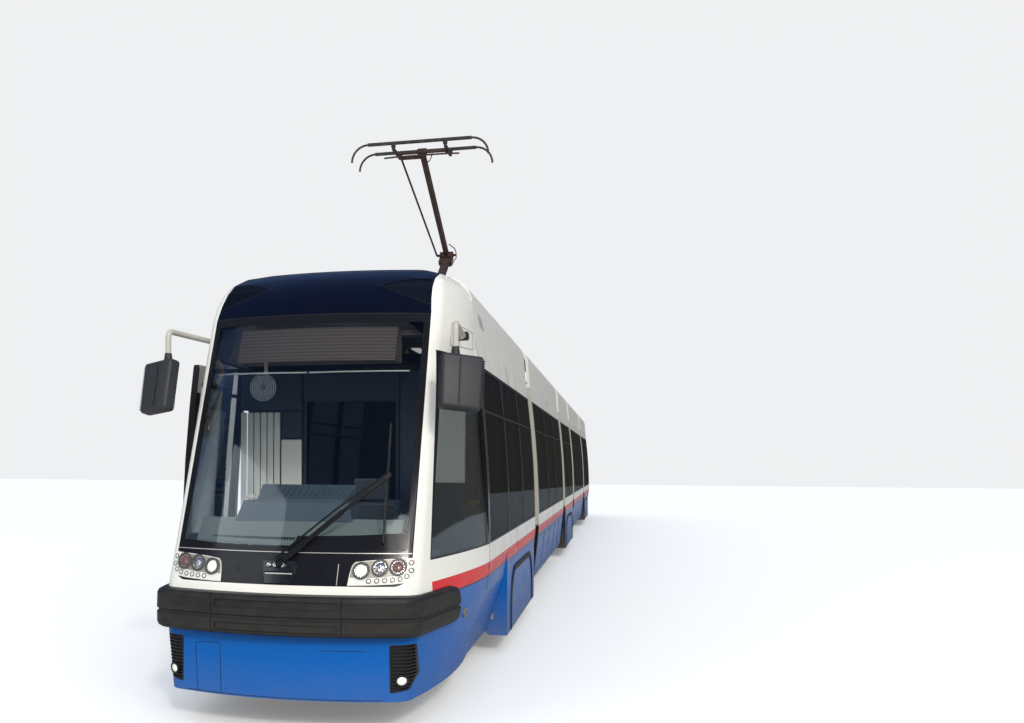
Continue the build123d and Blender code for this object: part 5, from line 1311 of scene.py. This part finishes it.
roof_paint = roof_livery()
vent_grey = grained("vent_grey", (0.09, 0.09, 0.092), 0.5, 200.0, 0.0003, Metallic=0.3)
# start and end from the section's start, half width, top
ROOF_UNITS = {
    "a": ((0.250, 2.350, 0.700, 3.330), (2.550, 4.350, 0.600, 3.250)),
    "b": ((0.300, 2.500, 0.720, 3.320), (3.000, 5.300, 0.650, 3.250)),
    "c": ((0.300, 1.500, 0.640, 3.260), (1.750, 3.000, 0.720, 3.320)),
    "d": ((0.300, 2.300, 0.650, 3.250), (2.900, 5.300, 0.720, 3.320)),
    "e": ((0.450, 2.300, 0.720, 3.320), (2.700, 4.200, 0.650, 3.260)),
}


def blocks(name, body, finish, rows, edge=0.004):
    """Blocks with rounded edges, from rows of two opposite corners, from the nose and over the rail."""
    bm = bmesh.new()
    for (x0, y0, z0), (x1, y1, z1) in rows:
        centre = Vector(((x0 + x1) / 2, NOSE + (y0 + y1) / 2, RAIL + (z0 + z1) / 2))
        size = Matrix.Diagonal((abs(x1 - x0), abs(y1 - y0), abs(z1 - z0), 1))
        bmesh.ops.create_cube(bm, size=1.0, matrix=Matrix.Translation(centre) @ size)
    return finished(name, bm, body, finish, edge, tidy=False)


def discs(name, body, finish, rows, axis, edge=0.003, segments=32):
    """Turned discs, from rows of (centre, radius, other radius, length) along one axis."""
    bm = bmesh.new()
    turns = {"X": Matrix.Rotation(pi / 2, 4, "Y"), "Y": Matrix.Rotation(-pi / 2, 4, "X"),
             "Z": Matrix.Identity(4)}
    turn = turns[axis]
    for centre, first, second, length in rows:
        stub(bm, placed(centre)[0], first, second, length, turn, segments)
    return finished(name, bm, body, finish, edge)


for letter, units in ROOF_UNITS.items():
    paint(f"roof_{letter}", roof_paint)
    smoothed(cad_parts[f"roof_{letter}"], 22)
    body = f"section_{letter}"
    section_start = SECTION_SPANS[letter][0]
    fans, lids, louvres = [], [], []
    for start, end, half, top in units:
        first, last = section_start + start, section_start + end
        wide = half > 0.68
        lids.append(((-half + 0.12, first + 0.10, top - 0.02), (half - 0.12, last - 0.10, top + 0.008)))
        for i in range(3):
            y = first + (last - first) * (i + 0.5) / 3
            if wide:
                fans.append(((0, y, top + 0.014), 0.24, 0.225, 0.020))
            if i < 2:
                lids.append(((-0.05, y + 0.30, top), (0.05, y + 0.33, top + 0.020)))
        count = int((last - first - 0.3) / 0.05)
        for i in range(count):
            y = first + 0.15 + i * 0.05
            for side in (-1, 1):
                louvres.append(((side * (half - 0.004), y, DECK_TOP + 0.10),
                                (side * (half + 0.006), y + 0.030, top - 0.08)))
    blocks(f"roof_lids_{letter}", body, roof_paint, lids, 0.006)
    blocks(f"roof_louvres_{letter}", body, vent_grey, louvres, 0.002)
    if fans:
        discs(f"roof_fans_{letter}", body, vent_grey, fans, "Z", 0.004, 40)
        guards = []
        for (x, y, z), radius, other, length in fans:
            for share in (0.30, 0.55, 0.80):
                reach = radius * share
                hoop = [(x + reach * cos(a), y + reach * sin(a), z + 0.012)
                        for a in [pi * k / 10 for k in range(21)]]
                guards.append((placed(*hoop), 0.004, 6, 1, 0.001))
            for a in [pi * k / 3 for k in range(6)]:
                tip = (x + radius * 0.9 * cos(a), y + radius * 0.9 * sin(a), z + 0.014)
                guards.append((placed((x, y, z + 0.014), tip), 0.005, 6))
        shaped(f"roof_fan_guards_{letter}", body, vent_grey, swept_tube, guards)
    length = SECTION_SPANS[letter][1] - section_start
    blocks(f"roof_walkways_{letter}", body, vent_grey,
           [((side * 0.735, section_start + 0.05 + 0.42 * i, DECK_TOP + 0.002),
             (side * 0.795, section_start + 0.40 + 0.42 * i, DECK_TOP + 0.022))
            for side in (-1, 1) for i in range(int(length / 0.42))], 0.003)

# Running gear: bogie frames in dark paint under road dust, coil springs over the frames, axlebox covers with
# bolts, brake callipers, and wheels with bright treads.
def dusty_iron(name, colour, rough, share):
    return mottled(name, colour, rough, (0.16, 0.115, 0.080), (8.0, 6.0, 0.3, 0.7, share), (90.0, 0.0008),
                   Metallic=0.2)


bogie_paint = dusty_iron("bogie_paint", (0.060, 0.062, 0.066), 0.65, 0.6)
floor_iron = dusty_iron("floor_iron", (0.085, 0.086, 0.088), 0.6, 0.45)
spring_steel = dusty_iron("spring_steel", (0.045, 0.045, 0.048), 0.45, 0.4)
wheel_iron = dusty_iron("wheel_iron", (0.100, 0.090, 0.082), 0.6, 0.7)
tread_steel = new_finish("tread_steel", (0.50, 0.49, 0.48), 0.22, Metallic=1.0)
tree = tread_steel.node_tree
feed(tree, "Roughness", spread(tree, speckle(tree, place_on(tree)[0], 60.0), 0.3, 0.7, 0.14, 0.34))


def coil(bm, centre, radius, wire, axis, rise, turns, steps):
    """A coil spring: a small round of wire, spun about the axis and along it."""
    along = Vector((0, 1, 0)) if axis == "Y" else Vector((0, 0, 1))
    lie = Matrix.Rotation(pi if axis == "Y" else pi / 2, 4, "X")
    start = Matrix.Translation(Vector(centre) + Vector((radius, 0, 0))) @ lie
    verts = bmesh.ops.create_circle(bm, cap_ends=True, radius=wire, segments=8, matrix=start)["verts"]
    edges = {e for v in verts for e in v.link_edges}
    caps = {f for v in verts for f in v.link_faces}
    bmesh.ops.spin(bm, geom=[*verts, *edges, *caps], cent=centre, axis=along, dvec=along * (rise / steps),
                   angle=2 * pi * turns, steps=steps, use_merge=False, use_duplicate=False)


AXLES = (3.950, 5.750, 14.160, 15.960, 24.370, 26.170)
WHEEL_RADIUS = 0.300
AXLE_REACH = 0.900
for number, axle in enumerate(AXLES, 1):
    body = f"wheelset_{number}"
    for polygon in paint(body, wheel_iron, tread_steel).polygons:
        x, y, z = polygon.center
        radius = hypot(y - NOSE - axle, z - RAIL - WHEEL_RADIUS)
        tread = radius > 0.292 and abs(x) < 0.580 and abs(polygon.normal.x) < 0.95
        polygon.material_index = 1 if tread else 0
    smoothed(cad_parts[body], 30)
    bolts = [((side * 0.548, axle + 0.170 * cos(a), WHEEL_RADIUS + 0.170 * sin(a)), 0.012, 0.011, 0.014)
             for side in (-1, 1) for a in [pi * k / 5 for k in range(10)]]
    discs(f"wheel_bolts_{number}", body, spring_steel, bolts, "X", 0.002, 10)

for letter, centre in BOGIE_CENTRES.items():
    body = f"section_{letter}"
    paint(f"bogie_{letter}", bogie_paint)
    springs = [(*placed((side * 0.740, centre + end * 0.300, 0.326)), 0.078, 0.009, "Z", 0.066, 4, 80)
               for side in (-1, 1) for end in (-1, 1)]
    shaped(f"suspension_springs_{letter}", body, spring_steel, coil, springs)
    covers, bolts, callipers = [], [], []
    for side in (-1, 1):
        for axle in (centre - AXLE_REACH, centre + AXLE_REACH):
            covers += [((side * 0.800, axle, WHEEL_RADIUS), 0.078, 0.070, 0.018)]
            places = [(axle + 0.056 * cos(a), WHEEL_RADIUS + 0.056 * sin(a))
                      for a in [pi * k / 3 for k in range(6)]]
            bolts += [((side * 0.809, *place), 0.009, 0.008, 0.010) for place in places]
        for end in (-1, 1):
            callipers.append(((side * 0.690, centre + end * 0.46, 0.235),
                              (side * 0.640, centre + end * 0.56, 0.335)))
            callipers.append(((side * 0.500, centre + end * 0.40, 0.120),
                              (side * 0.560, centre + end * 0.36, 0.200)))
    discs(f"axlebox_covers_{letter}", body, spring_steel, covers, "X", 0.004, 32)
    discs(f"axlebox_bolts_{letter}", body, tread_steel, bolts, "X", 0.001, 6)
    blocks(f"brake_gear_{letter}", body, bogie_paint, callipers, 0.008)

# Undersides and floors: dark painted metal below, a speckled rubber covering inside, and a yellow edge with
# grip ribs in each doorway.
floor_covering = mottled("floor_covering", (0.075, 0.080, 0.090), 0.55, (0.22, 0.23, 0.25),
                         (260.0, 1.0, 0.62, 0.66, 1.0), (180.0, 0.0002))
step_yellow = grained("step_yellow", (0.62, 0.42, 0.03), 0.5, 200.0, 0.0004)
for letter in "abcde":
    for polygon in paint(f"floor_{letter}", floor_iron, floor_covering).polygons:
        walked_on = polygon.normal.z > 0.5 and polygon.center.z > 0.345 + RAIL - 0.001
        polygon.material_index = 1 if walked_on else 0
    rows = []
    for start, end in DOORWAYS[letter]:
        rows.append(((-1.035, start + 0.02, 0.350), (-0.985, end - 0.02, 0.3525)))
        rows += [((-1.030 + 0.018 * i, start + 0.02, 0.352), (-1.024 + 0.018 * i, end - 0.02, 0.3545))
                 for i in range(3)]
    if rows:
        blocks(f"step_edges_{letter}", f"section_{letter}", step_yellow, rows, 0.001)

# Saloon: seats with blue cushions in grey shells, yellow grab poles, pale linings over the wheels, and light
# lines along the ceiling.
interior_lining = new_finish("interior_lining", (0.36, 0.36, 0.35), 0.5)
tree = interior_lining.node_tree
source, across, along, height = place_on(tree)
scuffs = spread(tree, speckle(tree, source, 7.0, 6.0), 0.4, 0.8, 0.0, 0.3)
lining = blend_colour(tree, spread(tree, height, 0.9, 1.5, 0.0, 1.0), (0.22, 0.23, 0.25), (0.42, 0.42, 0.40))
feed(tree, "Base Color", blend_colour(tree, scuffs, lining, (0.15, 0.15, 0.15)))
orange_peel(tree, source, 240.0, 0.0002)
seat_cloth = mottled("seat_cloth", (0.020, 0.060, 0.190), 0.9, (0.040, 0.110, 0.270),
                     (90.0, 2.0, 0.35, 0.65, 1.0), (500.0, 0.0008), first=(0.014, 0.045, 0.150),
                     Sheen_Weight=0.4)
pole_yellow = grained("pole_yellow", (0.70, 0.48, 0.03), 0.3, 300.0, 0.0001, Coat_Weight=0.3)
ceiling_light = new_finish("ceiling_light", (0.9, 0.9, 0.86), 0.5, Emission_Strength=0.9,
                           Emission_Color=(1.0, 0.97, 0.9, 1))
SEAT_WIDTH = 0.440
SEAT_DEPTH = 0.430
SEAT_SHEET = 0.045
SEAT_TOP = 0.780
BOX_SEAT_TOP = 0.960
POLES = {"a": ((0.350, 2.500),), "b": ((-0.450, 9.290), (-0.450, 10.690)), "c": (),
         "d": ((-0.450, 19.430), (-0.450, 20.830)), "e": ((0.350, 27.620),)}


def seats_in(letter):
    """Places of the seats, as across, along, height of the top and which way each faces."""
    if letter in BOGIE_CENTRES:
        centre = BOGIE_CENTRES[letter]
        return [(side * 0.690, centre + end * 0.635 - facing * 0.258, BOX_SEAT_TOP, facing)
                for side in (-1, 1) for end in (-1, 1) for facing in (-1, 1)]
    middle = sum(SECTION_SPANS[letter]) / 2
    return [(x, middle + row * 1.450 - facing * 0.380, SEAT_TOP, facing)
            for row in (-1, 0, 1) for facing in (-1, 1) for x in (0.340, 0.800)]


for letter in "abcde":
    body = f"section_{letter}"
    paint(f"interior_{letter}", interior_lining)
    cushions, backs, grips = [], [], []
    for x, y, top, facing in seats_in(letter):
        back = y - facing * (SEAT_DEPTH / 2 - SEAT_SHEET)
        front = y + facing * (SEAT_DEPTH / 2 - 0.010)
        half = SEAT_WIDTH / 2
        cushions.append(((x - half + 0.02, min(back, front), top),
                         (x + half - 0.02, max(back, front), top + 0.040)))
        padding = back + facing * 0.030
        backs.append(((x - half + 0.03, min(back, padding), top + 0.09),
                      (x + half - 0.03, max(back, padding), top + 0.40)))
        shell_back = back - facing * (SEAT_SHEET + 0.006)
        head = top + (0.480 if letter not in BOGIE_CENTRES else 0.420)
        grips.append(((x - 0.12, min(shell_back, back), head - 0.002),
                      (x + 0.12, max(shell_back, back), head + 0.016)))
    blocks(f"seat_cushions_{letter}", body, seat_cloth, cushions, 0.016)
    blocks(f"seat_backs_{letter}", body, seat_cloth, backs, 0.012)
    blocks(f"seat_grips_{letter}", body, pole_yellow, grips, 0.006)
    start, end = SECTION_SPANS[letter]
    behind_cab = start + (0.35 if letter == "a" else 0.25)
    lights = [((side * 0.42, behind_cab, 2.838), (side * 0.50, end - 0.25, 2.846)) for side in (-1, 1)]
    blocks(f"ceiling_lights_{letter}", body, ceiling_light, lights, 0.003)
    bm = bmesh.new()
    for side in (-1, 1):
        first, last = start + 0.40, end - 0.40
        rail = placed((side * 0.62, first, 2.835), (side * 0.62, first + 0.05, 2.10),
                      (side * 0.62, last - 0.05, 2.10), (side * 0.62, last, 2.835))
        swept_tube(bm, rail, 0.015, 12, 6, 0.08)
    for x, y in POLES[letter]:
        stub(bm, placed((x, y, 1.600))[0], 0.0195, 0.0195, 2.48, segments=20)
    finished(f"grab_rails_{letter}", bm, body, pole_yellow)

# Cab: a blue-grey moulded desk with a ribbed hood, dark screens, a lever on each hand and vents under the
# windscreen, a round fan high up, and a seat in dark cloth. Cream and dark panels line the wall behind.
desk_plastic = mottled("desk_plastic", (0.060, 0.085, 0.110), 0.5, (0.095, 0.115, 0.135),
                       (5.0, 5.0, 0.35, 0.7, 0.3), (420.0, 0.00008))
display_grey = new_finish("display_grey", (0.42, 0.37, 0.33), 0.6)
tree = display_grey.node_tree
source, across, along, height = place_on(tree)
bands = tree.nodes.new("ShaderNodeTexWave")
bands.bands_direction = "Z"
bands.inputs["Scale"].default_value = 12.0
tree.links.new(source, bands.inputs["Vector"])
feed(tree, "Base Color", blend_colour(tree, bands.outputs["Fac"], (0.34, 0.30, 0.27), (0.52, 0.46, 0.41)))
for polygon in paint("dashboard", desk_plastic, display_grey).polygons:
    polygon.material_index = 1 if polygon.center.z > 2.4 else 0
scuttle_grey = grained("scuttle_grey", (0.185, 0.215, 0.205), 0.55, 300.0, 0.0001)
instrument_glass = grained("instrument_glass", (0.012, 0.014, 0.018), 0.15, 30.0, 0.0001, Coat_Weight=0.6)
fan_grey = grained("fan_grey", (0.20, 0.21, 0.22), 0.5, 150.0, 0.0003)
fan_black = grained("fan_black", (0.050, 0.055, 0.062), 0.5, 150.0, 0.0003)
bm = bmesh.new()
scuttle = bmesh.ops.create_grid(bm, x_segments=24, y_segments=6, size=0.5)["verts"]
for v in scuttle:
    across, share = v.co.x * 1.52, v.co.y + 0.5
    front = 0.325 + 0.26 * across * across
    v.co = (across, NOSE + front + share * (0.600 - front), 1.262 + 0.155 * share + RAIL)
bmesh.ops.solidify(bm, geom=bm.faces[:], thickness=0.020)
finished("desk_scuttle", bm, "section_a", scuttle_grey)
bm = bmesh.new()
base = rounded_block(bm, (0.900, 0.330, 0.170), 0.018, 3,
                     Matrix.Translation((-0.055, NOSE + 0.725, 1.455 + RAIL)))
for v in base:
    if v.co.z > 1.455 + RAIL:
        v.co.x = -0.055 + (v.co.x + 0.055) * 0.91
        v.co.y += 0.055 if v.co.y < NOSE + 0.725 else 0.0
hood = rounded_block(bm, (0.740, 0.240, 0.130), 0.016, 3,
                     Matrix.Translation((-0.035, NOSE + 0.770, 1.590 + RAIL)))
for v in hood:
    if v.co.y < NOSE + 0.770:
        v.co.x = -0.035 + (v.co.x + 0.035) * 0.90
        if v.co.z > 1.590 + RAIL:
            v.co.z -= 0.100
for i in range(13):
    x = -0.250 + 0.046 * i
    swept_tube(bm, placed((x, 0.700, 1.581), (x, 0.860, 1.648)), 0.005, 8)
finished("desk_hood", bm, "section_a", desk_plastic)
blocks("desk_vents", "section_a", window_rubber,
       [((-0.620 + 0.022 * i, 0.350 + 0.26 * (-0.62 + 0.022 * i) ** 2, 1.266),
         (-0.609 + 0.022 * i, 0.395 + 0.26 * (-0.62 + 0.022 * i) ** 2, 1.296)) for i in range(30)], 0.002)
discs("desk_dome", "section_a", tube_cream, [((-0.400, 0.640, 1.572), 0.042, 0.026, 0.030)], "Z", 0.008, 32)
blocks("blind_rolls", "section_a", window_rubber,
       [((-0.800, 0.905, 2.512), (-0.500, 0.935, 2.542)),
        ((0.360, 0.905, 2.508), (0.770, 0.935, 2.550))], 0.012)
blocks("desk_screens", "section_a", instrument_glass,
       [((-0.48, 0.898, 1.270), (-0.20, 0.908, 1.500)), ((-0.16, 0.898, 1.270), (0.12, 0.908, 1.500)),
        ((0.16, 0.898, 1.300), (0.36, 0.908, 1.480)), ((-0.80, 0.700, 1.190), (-0.52, 0.860, 1.200))], 0.004)
blocks("cab_side_lockers", "section_a", desk_plastic,
       [((0.62, 0.72, 1.192), (0.88, 0.90, 1.330)), ((-0.90, 0.60, 1.192), (-0.66, 0.69, 1.290))], 0.015)
LEVER = ((1.215, 0.030, 0.022, 0.050), (1.270, 0.010, 0.012, 0.070), (1.310, 0.018, 0.022, 0.030))
discs("desk_levers", "section_a", window_rubber,
      [((side * 0.52, 0.80, height), *sizes) for height, *sizes in LEVER for side in (-1, 1)], "Z", 0.003, 24)
FAN_X, FAN_Z = -0.372, 2.383
bm = bmesh.new()
for radius in (0.100, 0.084, 0.068, 0.052, 0.036):
    ring(bm, FAN_X, FAN_Z, radius, 0.004, -0.004, 0.0, 40)
for a in [pi / 8 + pi / 4 * i for i in range(8)]:
    spoke = [(FAN_X + reach * cos(a), 0.002, FAN_Z + reach * sin(a)) for reach in (0.02, 0.10)]
    swept_tube(bm, spoke, 0.002, 6)
bmesh.ops.translate(bm, vec=(0, NOSE + 0.790, RAIL), verts=bm.verts[:])
finished("cab_fan_guard", bm, "section_a", fan_grey)
discs("cab_fan", "section_a", fan_black,
      [((FAN_X, 0.812, FAN_Z), 0.096, 0.096, 0.022), ((FAN_X, 0.850, FAN_Z), 0.042, 0.030, 0.060)],
      "Y", 0.004, 36)
discs("cab_fan_stalk", "section_a", tube_cream,
      [((FAN_X, 0.850, 2.520), 0.012, 0.018, 0.140)], "Z", 0.003, 20)
driver_cloth = grained("driver_cloth", (0.030, 0.034, 0.042), 0.9, 400.0, 0.001, Sheen_Weight=0.3)


def padded_driver_seat():
    recline = Matrix.Rotation(radians(-12), 4, "X")
    cushion, back, head = [Matrix.Translation(place) for place in placed(
        (0.250, 1.350, 0.915), (0.250, 1.520, 1.190), (0.250, 1.608, 1.600))]
    return shaped("driver_seat_padding", "section_a", driver_cloth, rounded_block,
                  [((0.500, 0.460, 0.070), 0.022, 3, cushion),
                   ((0.460, 0.060, 0.600), 0.022, 3, back @ recline),
                   ((0.260, 0.050, 0.170), 0.020, 3, head @ recline)])


padded_driver_seat()
handle = placed((0.880, 0.97, 1.45), (0.850, 1.01, 1.50), (0.850, 1.08, 1.95), (0.880, 1.05, 2.00))
shaped("cab_grab_handle", "section_a", pole_yellow, swept_tube, [(handle, 0.014, 14, 6, 0.04)])
cab_cream = grained("cab_cream", (0.80, 0.77, 0.68), 0.5, 200.0, 0.0003)
cab_dark = grained("cab_dark", (0.030, 0.040, 0.058), 0.5, 200.0, 0.0003)
blocks("cab_wall_panels", "section_a", cab_cream,
       [((-1.020 + 0.062 * i, 1.950, 0.45), (-0.966 + 0.062 * i, 1.974, 2.26)) for i in range(6)]
       + [((-0.640, 1.940, 0.45), (-0.455, 1.974, 2.02)),
          ((0.625, 1.955, 1.655), (0.98, 1.974, 2.700))], 0.010)
blocks("cab_wall_dark", "section_a", cab_dark,
       [((-1.020, 1.955, 2.275), (-0.455, 1.974, 2.620)), ((-0.640, 1.960, 2.035), (-0.455, 1.974, 2.265)),
        ((0.42, 1.960, 0.45), (0.610, 1.974, 2.700)), ((0.625, 1.960, 0.45), (0.98, 1.974, 1.640)),
        ((-0.44, 1.960, 2.362), (0.41, 1.974, 2.700)), ((-0.40, 1.960, 0.45), (0.36, 1.974, 1.10))], 0.008)
cab_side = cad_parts["interior_a"].data
cab_side.materials.append(cab_dark)
for polygon in cab_side.polygons:
    if polygon.center.y < NOSE + 2.06:
        polygon.material_index = 1
partition_glass = clear_glass("partition_glass", (0.30, 0.33, 0.38), False, 0.3)
blocks("cab_partition_pane", "section_a", partition_glass,
       [((-0.452, 1.992, 1.105), (0.412, 1.998, 2.560))], 0.001)
shaped("cab_partition_posts", "section_a", window_rubber, swept_tube,
       [(placed((x, 1.985, 1.10), (x, 1.985, 2.58)), 0.010, 10) for x in (-0.448, 0.408)])

# Pantograph: brown painted tubes with worn edges, brown glazed insulators, springs at the foot, carbon
# strips, and copper jumper loops over the knee and the head.
def worn_paint(name, colour, under, share):
    return mottled(name, colour, 0.5, under, (14.0, 8.0, 0.50, 0.70, share), (110.0, 0.0005), Metallic=0.25)


panto_brown = worn_paint("panto_brown", (0.070, 0.036, 0.026), (0.115, 0.085, 0.070), 0.6)
carbon_strip = worn_paint("carbon_strip", (0.035, 0.034, 0.035), (0.16, 0.11, 0.07), 0.5)
insulator_glaze = grained("insulator_glaze", (0.30, 0.10, 0.05), 0.2, 40.0, 0.0002, Coat_Weight=0.5)
copper_braid = worn_paint("copper_braid", (0.30, 0.13, 0.06), (0.10, 0.14, 0.10), 0.7)
for part, split in (("base", 3.480), ("lower_arm", 0), ("upper_arm", 0), ("head", 5.455)):
    name = f"pantograph_{part}"
    for polygon in paint(name, panto_brown, insulator_glaze if part == "base" else carbon_strip).polygons:
        height = polygon.center.z - RAIL
        if part == "base":
            other = height < split
        else:
            other = split and height > split and abs(polygon.center.x) < 0.601
        polygon.material_index = 1 if other else 0
    smoothed(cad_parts[name], 32)
BASE = (5.350, 3.650)
KNEE = (6.500, 4.460)
HEAD = (4.905, 5.410)


def at(x, point, along=0.0, up=0.0):
    return (x, NOSE + point[0] + along, RAIL + point[1] + up)


bm = bmesh.new()
for side in (-1, 1):
    x, y, z = side * 0.200, NOSE + 5.030, RAIL + 3.600
    coil(bm, (x, y, z), 0.032, 0.0065, "Y", 0.270, 14, 280)
    swept_tube(bm, ((x, y - 0.035, z - 0.060), (x, y - 0.035, z), (x, y + 0.01, z)), 0.010, 10, 4, 0.02)
    swept_tube(bm, ((x, y + 0.265, z), (x, y + 0.305, z), (x, y + 0.320, z + 0.020)), 0.010, 10, 4, 0.01)
finished("pantograph_springs", bm, "section_a", spring_steel)
BASE_BOLT = ((3.546, 0.020, 0.018, 0.014), (3.553, 0.010, 0.009, 0.016))
discs("pantograph_base_bolts", "section_a", tread_steel,
      [((side * 0.390, y, height), *sizes)
       for height, *sizes in BASE_BOLT for side in (-1, 1) for y in (4.980, 5.720)], "Z", 0.001, 6)
COLLARS = ((0.120, 0.056, 0.030), (0.300, 0.048, 0.024))
discs("pantograph_foot_collars", "pantograph_lower", panto_brown,
      [((side * x, *BASE), radius, radius, width) for x, radius, width in COLLARS for side in (-1, 1)],
      "X", 0.003, 28)
knee_bolts = [((side * 0.089, *KNEE), 0.034, 0.030, 0.012) for side in (-1, 1)]
discs("pantograph_knee_nuts", "pantograph_upper", tread_steel, knee_bolts, "X", 0.002, 6)
CROSS_BAR = [at(x, HEAD, -0.040, up)
             for x, up in ((-0.44, -0.057), (-0.30, -0.050), (0.30, -0.050), (0.44, -0.057))]
shaped("pantograph_cross_bar", "pantograph_bow", panto_brown, swept_tube,
       [(CROSS_BAR, 0.010, 12, 4, 0.04)]
       + [((at(x, HEAD, -0.040, -0.053), at(x, HEAD)), 0.012, 12) for x in (-0.285, 0.285)])
shaped("pantograph_head_springs", "pantograph_bow", spring_steel, coil,
       [(at(side * 0.300, HEAD, end * 0.175, 0.016), 0.023, 0.0035, "Z", 0.034, 4, 64)
        for side in (-1, 1) for end in (-1, 1)])


def jumper(name, point, loop, radius, rounding):
    """A short copper loop, through places of (across, along, up) from a pin."""
    path = [at(x, point, along, up) for x, along, up in loop]
    return shaped(name, None, copper_braid, swept_tube, [(path, radius, 10, 8, rounding)])


knee_loop = jumper("pantograph_knee_jumper", KNEE,
                   ((0.095, -0.16, -0.09), (0.125, -0.05, 0.02), (0.130, 0.06, 0.06), (0.125, 0.03, 0.17),
                    (0.060, -0.10, 0.21)), 0.007, 0.06)
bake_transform(knee_loop)
head_loop = jumper("pantograph_head_jumper", HEAD,
                   ((0.040, 0.14, -0.075), (0.075, 0.06, -0.090), (0.110, -0.01, -0.070),
                    (0.120, -0.01, -0.020), (0.105, 0.0, 0.0)), 0.006, 0.05)
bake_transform(head_loop)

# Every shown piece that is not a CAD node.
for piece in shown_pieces():
    if piece.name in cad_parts:
        continue
